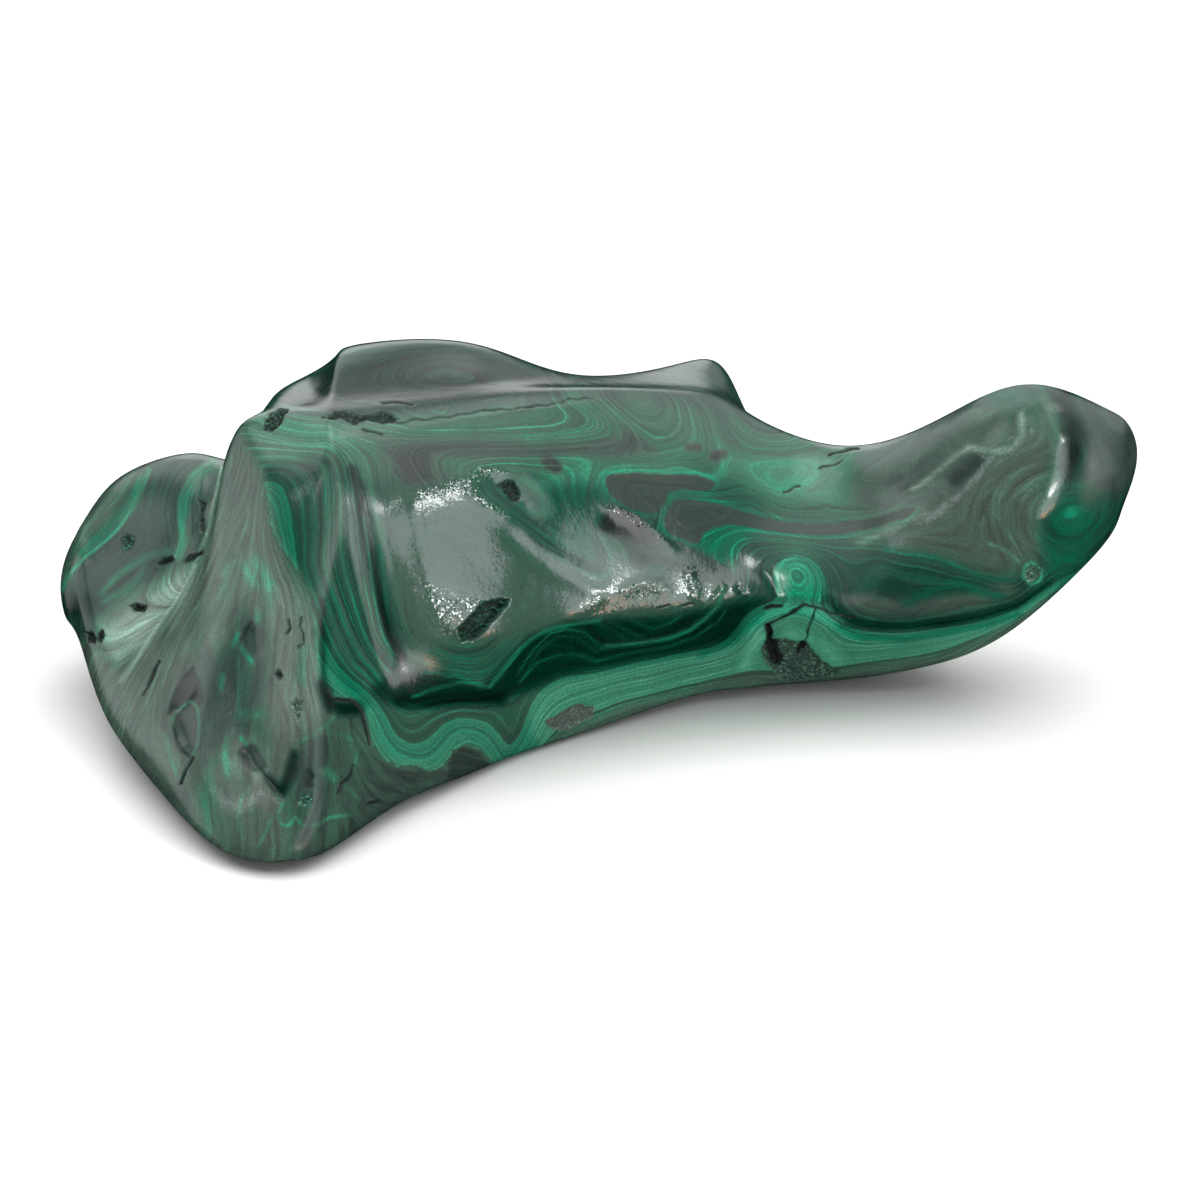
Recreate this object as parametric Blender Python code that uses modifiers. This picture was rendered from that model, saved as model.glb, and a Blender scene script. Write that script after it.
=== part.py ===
"""A polished freeform of malachite: one stone, 121 mm long, lying on its flattened underside.

The stone is a loft. Sections stand across its length, and sixteen rails run along it from the
left lobe to the right arm. Each section gives the place of every rail, in millimetres, and a
Subdivision Surface runs through all of them. Edges along the ground ridges are creased.
X is the length, left to right, Y runs from the front to the back and Z is up.
"""

import bmesh
import bpy
import numpy as np

MM = 0.001

NAME = "malachite"
RAILS = (
    "foot", "skirt", "brow", "chin", "cheek", "slope", "crest", "dish",
    "dish_back", "ridge", "back_high", "back_mid", "back_low", "heel", "sole_back", "sole_front",
)

# Each section is its x at z 0, its lean (how far x shifts for each mm of height), then (y, z) of
# the rails in the order above.
SECTIONS = (
    (-59.0, 0.0, (
        (46.0, 7.4), (44.0, 8.6), (43.2, 10.4), (43.4, 12.2), (44.4, 13.9), (46.0, 15.3),
        (48.1, 16.9), (50.6, 18.0), (53.4, 18.8), (56.2, 19.0), (59.0, 17.8), (61.0, 14.8),
        (61.2, 11.0), (59.0, 8.2), (54.8, 6.8), (50.0, 6.6),
    )),
    (-55.4, 0.0, (
        (33.4, 4.2), (31.2, 5.0), (30.8, 6.4), (31.8, 8.0), (33.8, 9.7), (36.6, 11.4),
        (40.0, 13.4), (44.0, 16.1), (49.6, 19.7), (56.4, 22.9), (61.8, 21.1), (65.0, 15.2),
        (64.4, 8.6), (59.2, 4.2), (49.5, 2.3), (40.0, 2.4),
    )),
    (-49.5, 0.0, (
        (18.5, 2.7), (16.4, 4.9), (16.8, 7.1), (19.6, 9.0), (23.8, 10.8), (28.6, 12.5),
        (34.2, 14.1), (40.0, 16.4), (47.6, 22.0), (57.0, 25.6), (63.5, 22.2), (67.5, 14.0),
        (67.0, 6.5), (60.0, 1.2), (44.0, -0.2), (27.0, 0.4),
    )),
    (-44.3, -0.03, (
        (8.5, 1.6), (6.6, 4.2), (8.5, 6.9), (13.0, 10.3), (19.5, 14.1), (26.5, 18.1),
        (33.8, 22.3), (40.5, 22.4), (48.2, 24.9), (57.5, 25.9), (63.5, 22.0), (68.0, 14.0),
        (68.0, 6.0), (60.5, 0.0), (42.0, -0.5), (22.0, -0.2),
    )),
    (-39.2, -0.06, (
        (2.8, 0.9), (1.4, 3.7), (5.6, 7.7), (13.8, 14.0), (22.8, 22.6), (29.2, 29.3),
        (35.0, 36.1), (42.0, 30.0), (50.0, 26.8), (57.5, 26.0), (64.0, 22.0), (69.0, 14.0),
        (69.5, 6.0), (62.0, -0.3), (42.0, -0.6), (20.0, -0.5),
    )),
    (-33.8, -0.1, (
        (1.6, 1.0), (0.0, 4.6), (4.2, 9.9), (11.4, 16.4), (19.6, 24.9), (26.6, 33.6),
        (34.4, 39.1), (41.0, 38.0), (47.6, 36.4), (54.0, 34.0), (61.5, 29.0), (69.0, 18.5),
        (70.5, 7.0), (62.5, -0.3), (43.0, -0.6), (20.0, -0.5),
    )),
    (-28.6, -0.12, (
        (6.0, 0.9), (2.8, 5.4), (4.8, 12.7), (10.6, 19.4), (16.6, 26.1), (24.6, 35.4),
        (34.0, 39.9), (40.0, 39.0), (46.0, 38.3), (52.0, 37.8), (60.5, 33.0), (69.2, 21.0),
        (71.0, 8.6), (63.5, -0.2), (45.0, -0.6), (22.0, -0.6),
    )),
    (-22.3, -0.2, (
        (15.0, 1.7), (12.6, 5.5), (15.6, 12.0), (18.6, 18.3), (20.0, 28.2), (25.3, 37.5),
        (33.5, 40.2), (39.5, 40.0), (45.0, 40.3), (51.0, 40.1), (60.5, 36.0), (69.0, 24.0),
        (71.2, 10.0), (64.5, -0.2), (47.5, -0.6), (28.0, -0.6),
    )),
    (-16.0, -0.28, (
        (22.3, 1.5), (20.6, 7.6), (20.4, 16.1), (20.4, 21.0), (21.7, 28.7), (26.8, 36.7),
        (35.0, 39.7), (41.0, 39.9), (46.5, 41.0), (52.0, 41.3), (61.5, 36.5), (69.0, 24.5),
        (71.6, 10.0), (66.0, 0.0), (50.0, -0.6), (34.0, -0.6),
    )),
    (-10.5, -0.12, (
        (30.0, 0.8), (27.6, 6.7), (24.2, 15.3), (23.6, 19.7), (25.6, 27.7), (30.0, 35.1),
        (37.0, 39.5), (43.0, 40.0), (48.5, 41.1), (53.5, 41.1), (63.0, 35.4), (70.5, 24.0),
        (73.5, 10.0), (68.5, 0.2), (54.5, -0.5), (41.0, -0.5),
    )),
    (-3.0, -0.04, (
        (37.0, 0.4), (34.5, 6.9), (29.4, 16.4), (29.2, 19.5), (30.4, 24.9), (34.5, 33.0),
        (43.0, 38.4), (48.5, 37.6), (53.5, 36.6), (58.0, 35.6), (66.0, 31.5), (74.0, 22.0),
        (77.6, 9.5), (72.5, 0.4), (60.5, -0.4), (49.0, -0.2),
    )),
    (7.6, 0.0, (
        (44.0, 1.5), (41.4, 6.4), (34.2, 16.0), (33.8, 18.3), (35.4, 23.4), (41.0, 30.9),
        (52.0, 34.9), (58.0, 34.0), (64.5, 33.1), (71.0, 32.0), (77.5, 27.0), (82.5, 18.6),
        (82.8, 8.0), (76.5, 0.6), (65.5, -0.5), (55.0, -0.2),
    )),
    (14.0, 0.0, (
        (47.2, 1.6), (44.4, 6.4), (36.8, 16.0), (36.4, 18.2), (38.8, 22.6), (45.2, 28.6),
        (55.4, 32.0), (62.0, 31.2), (68.4, 30.6), (74.4, 29.6), (79.6, 24.2), (82.6, 16.0),
        (82.0, 7.0), (76.0, 0.8), (66.5, -0.4), (56.8, -0.1),
    )),
    (18.8, 0.0, (
        (48.8, 1.5), (46.0, 6.2), (37.8, 15.6), (37.6, 18.1), (41.2, 22.1), (48.2, 26.3),
        (58.0, 29.0), (63.6, 26.2), (68.2, 22.8), (72.2, 18.8), (75.6, 14.8), (77.4, 10.2),
        (76.0, 4.6), (71.4, 0.9), (64.0, 0.0), (56.8, 0.1),
    )),
    (27.3, 0.0, (
        (49.2, 2.1), (46.0, 6.7), (39.6, 13.2), (39.0, 17.0), (43.4, 21.9), (50.5, 25.6),
        (58.0, 26.8), (62.0, 24.6), (65.2, 22.0), (68.0, 18.6), (70.0, 14.6), (70.6, 10.0),
        (68.8, 5.4), (64.8, 2.0), (59.6, 1.0), (54.2, 1.2),
    )),
    (37.0, 0.0, (
        (48.2, 4.3), (44.8, 8.7), (40.2, 13.9), (38.6, 20.2), (41.8, 25.9), (48.0, 30.1),
        (54.6, 31.2), (59.2, 29.0), (62.8, 26.0), (65.6, 22.0), (67.0, 17.4), (66.6, 12.6),
        (64.4, 8.2), (60.6, 5.2), (56.4, 4.0), (52.2, 3.8),
    )),
    (46.5, 0.0, (
        (47.8, 9.3), (44.6, 12.3), (41.2, 16.8), (38.9, 24.0), (40.4, 30.7), (44.8, 35.8),
        (51.0, 36.8), (56.0, 34.9), (59.8, 31.8), (62.4, 27.6), (63.4, 23.0), (62.6, 18.4),
        (60.0, 14.2), (56.6, 11.2), (53.6, 9.8), (50.6, 9.2),
    )),
    (55.0, 0.0, (
        (48.0, 18.1), (45.8, 19.7), (43.6, 22.4), (42.2, 26.7), (42.6, 31.3), (45.0, 34.1),
        (49.4, 34.8), (53.2, 33.4), (56.0, 31.2), (57.8, 28.6), (58.2, 25.6), (57.2, 22.6),
        (55.2, 20.2), (53.2, 18.7), (51.4, 18.0), (49.8, 17.8),
    )),
)
# The farthest points of the two ends, in millimetres.
LEFT_END = (-61.8, 52.4, 12.4)
RIGHT_END = (59.3, 49.8, 29.2)

# The ridges that grinding left, as creases. The first run along a rail, between two sections, and
# the second run round a section, between two rails.
RIDGES_ALONG = (
    ("crest", 2, 9, 0.4),
    ("brow", 6, 16, 0.5),
    ("foot", 5, 13, 0.3),
    ("ridge", 7, 12, 0.3),
)
RIDGES_ROUND = (
    (6, "skirt", "cheek", 0.3),
)

# Each end is closed by points at these shares of the last section's width and of its distance to the
# farthest point.
CAP_WIDTH = 0.58
CAP_BULGE = 0.64
# How many times the cage is corrected, and how finely the surface is divided.
FIT_ROUNDS = 12
SMOOTH_LEVELS = 2


def clear_scene():
    for obj in list(bpy.data.objects):
        bpy.data.objects.remove(obj, do_unlink=True)


def section_points():
    """Every rail's place on every section, as sections x rails x 3, in metres."""
    rings = [[(x + lean * z, y, z) for y, z in ring] for x, lean, ring in SECTIONS]
    return np.array(rings) * MM


def cap_points(ring, end):
    """The three by three points that close a ring of sixteen, row by row round their middle."""
    middle = 0.5 * (ring.min(axis=0) + ring.max(axis=0))
    end = np.array(end) * MM
    inner = {}
    for k in range(0, len(ring), 2):
        inner[k] = middle + CAP_WIDTH * (ring[k] - middle) + CAP_BULGE * (end - middle)
    return inner, end


def add_cap(bm, ring, points, end, facing_right):
    """Closes a ring of sixteen vertices with a four by four patch of quads."""
    inner, tip = cap_points(points, end)
    inner = {k: bm.verts.new(p) for k, p in inner.items()}
    tip = bm.verts.new(tip)
    count = len(ring)
    quads = []
    for k in range(0, count, 4):
        before, after = inner[(k - 2) % count], inner[(k + 2) % count]
        quads.append((ring[k - 1], ring[k], ring[k + 1], inner[k]))
        quads.append((inner[k], ring[k + 1], ring[k + 2], after))
        quads.append((before, ring[k - 2], ring[k - 1], inner[k]))
        quads.append((before, inner[k], after, tip))
    for quad in quads:
        bm.faces.new(quad if facing_right else quad[::-1])


def build_cage():
    """The loft's cage, with its vertices at the places that the surface is to pass through."""
    points = section_points()
    bm = bmesh.new()
    rings = [[bm.verts.new(p) for p in ring] for ring in points]
    count = len(RAILS)
    for left, right in zip(rings, rings[1:]):
        for k in range(count):
            after = (k + 1) % count
            bm.faces.new((left[k], right[k], right[after], left[after]))
    add_cap(bm, rings[0], points[0], LEFT_END, facing_right=False)
    add_cap(bm, rings[-1], points[-1], RIGHT_END, facing_right=True)
    crease = bm.edges.layers.float.new("crease_edge")
    for rail, first, last, sharpness in RIDGES_ALONG:
        k = RAILS.index(rail)
        for left, right in zip(rings[first:last], rings[first + 1:last + 1]):
            bm.edges.get((left[k], right[k]))[crease] = sharpness
    for section, first, last, sharpness in RIDGES_ROUND:
        ring = rings[section]
        for k in range(RAILS.index(first), RAILS.index(last)):
            bm.edges.get((ring[k], ring[k + 1]))[crease] = sharpness
    bmesh.ops.recalc_face_normals(bm, faces=bm.faces)
    mesh = bpy.data.meshes.new(NAME)
    bm.to_mesh(mesh)
    bm.free()
    return mesh


def coordinates(mesh, count):
    found = np.empty(len(mesh.vertices) * 3, np.float32)
    mesh.vertices.foreach_get("co", found)
    return found.reshape(-1, 3)[:count].astype(float)


def evaluated_coordinates(obj, count):
    """Where the Subdivision Surface puts the cage's own vertices, which come first in its mesh."""
    bpy.context.view_layer.update()
    evaluated = obj.evaluated_get(bpy.context.evaluated_depsgraph_get())
    found = coordinates(evaluated.to_mesh(), count)
    evaluated.to_mesh_clear()
    return found


def fit_surface_through_points(stone):
    """Pushes the cage out until the smooth surface runs through the places that the sections give."""
    count = len(stone.data.vertices)
    wanted = coordinates(stone.data, count)
    cage = wanted.copy()
    for _ in range(FIT_ROUNDS):
        cage += wanted - evaluated_coordinates(stone, count)
        stone.data.vertices.foreach_set("co", cage.astype(np.float32).ravel())
        stone.data.update()


def flatten_underside(mesh):
    """The stone stands on the part of its underside that is ground flat, at z 0."""
    for vertex in mesh.vertices:
        vertex.co.z = max(vertex.co.z, 0.0)


def centre_over_origin(mesh):
    low = np.min([v.co for v in mesh.vertices], axis=0)
    high = np.max([v.co for v in mesh.vertices], axis=0)
    for vertex in mesh.vertices:
        vertex.co.x -= (low[0] + high[0]) / 2
        vertex.co.y -= (low[1] + high[1]) / 2


def polished_malachite():
    material = bpy.data.materials.new("polished_malachite")
    material.use_nodes = True
    shader = material.node_tree.nodes["Principled BSDF"]
    shader.inputs["Base Color"].default_value = (0.012, 0.105, 0.062, 1.0)
    shader.inputs["Roughness"].default_value = 0.12
    shader.inputs["Metallic"].default_value = 0.0
    return material


def build_stone():
    stone = bpy.data.objects.new(NAME, build_cage())
    collection = bpy.data.collections.new("malachite_freeform")
    bpy.context.scene.collection.children.link(collection)
    collection.objects.link(stone)
    smooth = stone.modifiers.new("smooth", "SUBSURF")
    smooth.levels = smooth.render_levels = SMOOTH_LEVELS
    fit_surface_through_points(stone)
    evaluated = stone.evaluated_get(bpy.context.evaluated_depsgraph_get())
    mesh = bpy.data.meshes.new_from_object(evaluated)
    stone.modifiers.clear()
    stone.data = mesh
    mesh.name = NAME
    flatten_underside(mesh)
    centre_over_origin(mesh)
    mesh.shade_smooth()
    mesh.materials.clear()
    mesh.materials.append(polished_malachite())
    return stone


def main():
    clear_scene()
    build_stone()


main()
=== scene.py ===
"""A hand-polished malachite freeform, 121 mm long, on a pale studio floor."""

import math

import bpy
import numpy as np
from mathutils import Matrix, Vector


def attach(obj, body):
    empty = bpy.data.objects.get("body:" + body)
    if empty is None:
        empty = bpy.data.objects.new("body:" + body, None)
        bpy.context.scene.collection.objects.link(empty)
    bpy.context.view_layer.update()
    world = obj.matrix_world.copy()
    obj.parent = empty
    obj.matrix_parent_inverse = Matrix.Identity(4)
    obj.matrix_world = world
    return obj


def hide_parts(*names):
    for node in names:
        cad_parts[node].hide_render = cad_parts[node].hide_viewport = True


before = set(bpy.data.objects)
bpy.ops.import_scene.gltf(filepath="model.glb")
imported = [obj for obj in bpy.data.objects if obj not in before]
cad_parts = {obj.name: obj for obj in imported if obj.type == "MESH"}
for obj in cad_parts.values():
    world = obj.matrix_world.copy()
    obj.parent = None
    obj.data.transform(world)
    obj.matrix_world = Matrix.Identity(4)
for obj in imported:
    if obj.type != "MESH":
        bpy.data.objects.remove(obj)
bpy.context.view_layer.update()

MM = 0.001
CAD_NODE = "malachite"

# The camera stands where the photograph's did: square to the long axis, looking down by 22 degrees.
CAMERA_TILT = math.radians(22.0)
CAMERA_DISTANCE = 0.75
CAMERA_AIM = Vector((0.00044, 0.0, 0.0148))
FRAME_SIDE = 1200
SENSOR_SIDE = 36.0
FOCAL_PIXELS = 6737.0
BACK = Vector((0.0, -math.cos(CAMERA_TILT), math.sin(CAMERA_TILT)))
RIGHT = Vector((1.0, 0.0, 0.0))
UP = BACK.cross(RIGHT)
CAMERA_PLACE = CAMERA_AIM + BACK * CAMERA_DISTANCE
NEAR_CLIP = 0.01

# The paper floor: its side in metres, and the size and height of the paper's tooth in mm.
FLOOR_SIDE = 6.0
PAPER_TOOTH = 0.6
PAPER_HEIGHT = 0.03

# Growth layers of the main body. Each line is one layer surface cut by the polish: its level, and the pixels
# of the 1200-pixel frame that it runs through. Levels rise towards the oldest layers.
BODY_LAYERS = {
    "underside rim": (-1, "560,734 620,709 680,693 740,684 800,681 860,677 900,669 950,657 998,632 1036,607"),
    "rim of the light band": (
        0, "560,726 590,714 620,700 645,695 675,688 713,677 751,669 800,673 837,667 860,663 904,657 "
        "943,650 973,638 1010,620 1045,597"),
    "middle of the light band": (
        2, "545,715 570,700 600,690 640,682 690,668 735,657 750,640 760,628 777,619 800,616 822,624 "
        "838,641 860,647 904,643 943,638 981,630 1019,615"),
    "top of the light band": (
        4, "508,752 520,735 526,720 532,701 544,688 561,678 590,674 617,667 656,657 694,651 723,646 "
        "732,636 740,624 750,612 762,605 772,603 780,600 782,595 777,588 774,578 775,569 780,561 788,557 "
        "798,556 808,559 817,566 823,576 825,588 822,597 818,602 826,610 836,618 848,627 860,631 878,632 "
        "904,633 943,628 981,622 1019,609 1050,585"),
    "eye ring": (2.6, "789,573 791,566 797,563 803,566 805,573 802,579 796,581 791,579 789,573"),
    "eye core": (1.2, "796,572"),
    "lower part of the eye": (3.0, "794,594 806,594"),
    "inside of the scallops": (4, "381,705 390,722 397,738 410,745 425,742 437,731 453,722 480,724 497,735"),
    "outside of the scallops": (
        2.5, "335,688 352,700 363,706 366,725 376,740 384,757 397,767 415,770 428,774 441,768 447,757 "
        "455,745 468,738 482,742 492,755"),
    "light patch on the corner": (4.5, "322,612 328,632 336,650 350,672 372,690"),
    "fifth layer": (
        5, "268,466 285,462 304,473 314,496 316,534 313,559 317,574 325,595 330,615 343,646 356,667 "
        "374,684 390,704 405,714 440,705 480,701 510,692 530,680 560,667 600,668"),
    "sixth layer": (
        6, "287,454 316,453 330,463 335,480 334,515 333,559 343,590 351,615 363,644 379,667 400,690 "
        "417,698 440,692 471,690 492,689 508,676 523,667 540,657 560,652 579,655 600,662 623,656 656,652 "
        "682,644 705,632 719,619 727,606"),
    "sixth layer on the arm": (6, "835,605 850,618 878,624 904,625 943,619 981,613 1019,600 1052,573"),
    "seventh layer round the eye": (
        7, "728,600 736,582 741,562 743,551 750,545 765,543 785,546 808,551 826,560 838,575 845,590 "
        "862,594 880,595 907,603 928,592 960,584 999,595"),
    "eighth layer": (
        8, "300,441 325,441 345,449 355,465 358,489 362,515 366,539 369,563 373,592 377,617 381,636 "
        "393,657 415,668 427,674 452,678 479,684 490,682 505,663 525,642 544,629 567,625 582,629 595,642 "
        "607,648 628,644 652,642 667,636 684,630 698,619 709,604 717,586 723,577 731,562 733,551 738,542 "
        "752,537 774,538 805,540 843,539 886,550 939,560 978,576 1013,581"),
    "ninth layer round the eye": (
        9, "713,557 705,546 702,538 709,531 722,528 740,527 758,529 775,533 800,536"),
    "tenth layer hook": (
        10, "412,500 400,487 394,474 389,458 379,449 374,443 385,439 436,437 494,439 551,437 590,435 "
        "601,429 604,420 598,412 575,406"),
    "eleventh layer": (11, "400,435 450,433 500,433 560,430 583,425 589,418 583,411 560,405"),
    "twelfth layer": (12, "420,430 470,427 520,424 552,421 560,416 552,411"),
    "ninth layer loop": (
        9, "436,478 431,455 437,451 484,449 532,450 580,446 607,443 618,441 624,435 622,426 611,418 "
        "600,410"),
    "wedge outline": (
        8, "465,470 466,462 513,459 551,457 590,454 628,457 655,456 660,453 647,443 632,430 618,417 "
        "608,408"),
    "lens": (9, "461,495 479,506 494,523 513,535 532,552 561,567 590,583 609,592"),
    "lens top": (7.4, "476,492 500,507 520,522 545,543 575,560 600,578"),
    "lens eye": (6.5, "505,485"),
    "deep green": (7, "550,500 575,520 600,545"),
    "first dark patch": (
        9, "605,479 606,475 617,474 640,473 667,475 694,475 709,479 716,483 713,489 700,491 680,489 "
        "668,493 664,503 658,512 645,513 630,508 617,500 607,490 605,479"),
    "middle of the first dark patch": (10, "630,485 655,487 690,482"),
    "second dark patch": (
        10, "664,523 667,514 673,502 684,499 702,501 725,506 744,512 770,519 790,523 828,524 860,520 "
        "881,517 905,508 917,508 905,518 881,525 860,531 828,535 790,533 767,530 745,526 728,524 713,527 "
        "703,533 700,543 692,543 679,537 667,532 664,523"),
    "middle of the second dark patch": (11, "680,515 700,515 730,518"),
    "third dark patch": (
        9, "599,527 601,519 608,514 623,510 637,516 646,527 661,535 682,542 703,554 726,567 737,582 "
        "715,583 692,577 672,570 655,562 645,565 640,575 632,565 628,552 622,543 610,536 599,527"),
    "middle of the third dark patch": (10, "620,525 650,545 690,560"),
    "tongue": (9.3, "780,507 795,501 814,497 846,500 886,507 900,511 880,514 850,514 806,514 785,512"),
    "line on the arm": (9.5, "854,478 870,485 886,489 905,490 923,493"),
    "bar on the arm": (9.5, "944,420 955,432 965,444"),
    "back slope patch": (9, "712,420 717,430 719,445 728,453 740,454 770,455 801,453 830,448"),
    "middle of the back slope patch": (10, "732,420 738,435 751,443 790,447"),
    "tip eye": (
        5, "1050,520 1050,505 1060,493 1075,490 1090,497 1096,512 1090,530 1075,538 1058,533 1050,520"),
    "tip eye core": (4.6, "1071,514"),
    "right edge of the tip": (6.5, "1080,563 1097,543 1112,517 1123,490 1129,464"),
    "tip crescent": (8, "1053,398 1063,420 1070,445 1066,470"),
    "outside of the tip crescent": (7, "1066,396 1083,431 1092,457 1083,480"),
    "basin ring": (13, "331,370 323,381 338,393 384,400 461,398 518,393 545,383 541,374"),
    "inner basin ring": (14, "404,377 423,389 453,393 492,391 530,377 499,362 453,360 415,366 404,377"),
    "basin eye": (15, "415,374 425,381 440,384 458,381 466,374 456,367 438,364 422,367 415,374"),
}

# Growth layers of the left lobe, which is a separate growth that meets the body in the valley.
LOBE_LAYERS = {
    "edge": (0, "64,600 70,560 84,530 100,505 120,485"),
    "bright line": (2, "149,469 140,490 132,510 120,527 106,541 84,558 69,575 63,590"),
    "first lesser band": (4, "166,551 144,558 123,571 110,583 98,600"),
    "second lesser band": (4.6, "144,566 135,583 118,595 96,605"),
    "left of the broad band": (6, "200,466 183,480 174,500 172,524 174,541 168,556"),
    "middle of the broad band": (7, "215,464 195,476 184,500 183,524 184,541 178,556"),
    "right of the broad band": (8, "222,468 202,482 195,500 196,524 197,541 186,560"),
    "pitted strip": (9, "213,490 206,515 203,535 190,566"),
    "foot of the lobe": (5.2, "200,600 150,610 115,625"),
    "dark middle": (4, "160,470 153,500 150,530"),
}

# Fibre lines of the grey left face, which fan out from its top.
FACE_LAYERS = {
    "crest": (0, "222,468 218,495 208,529 197,566 178,600 160,626 140,658 123,682 112,704"),
    "left": (3, "240,480 222,540 200,596 170,650 140,720 130,760"),
    "middle": (5, "262,490 251,541 246,590 232,638 220,690 215,760 225,830"),
    "right": (7, "266,500 270,560 275,620 272,680 268,740 262,800 262,850"),
    "edge": (10, "270,517 273,534 285,554 300,575 310,600 314,622 316,651 317,677 322,698 330,760 330,842"),
    "foot": (13, "350,730 375,770 410,790 450,785 480,772"),
}

# Where the lobe and the face end, drawn in pixels like the layers.
LOBE_OUTLINE = (
    "236,300 240,430 225,461 218,495 208,529 197,566 178,600 158,626 138,652 118,668 90,640 -200,640 "
    "-200,300")
FACE_OUTLINE = (
    "262,470 270,517 273,534 285,554 300,575 310,600 314,622 316,651 319,677 324,690 333,697 345,700 "
    "358,704 363,715 368,735 376,750 384,760 397,767 413,765 430,772 446,764 453,751 467,745 481,752 "
    "492,763 540,800 332,1000 60,1000 -200,900 -200,640 90,640 118,668 138,652 158,626 178,600 197,566 "
    "208,529 218,495 225,461 240,440")

# Brownish patches with a pale rim.
DARK_PATCHES = [BODY_LAYERS[name][1] for name in ("first dark patch", "second dark patch")]

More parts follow.
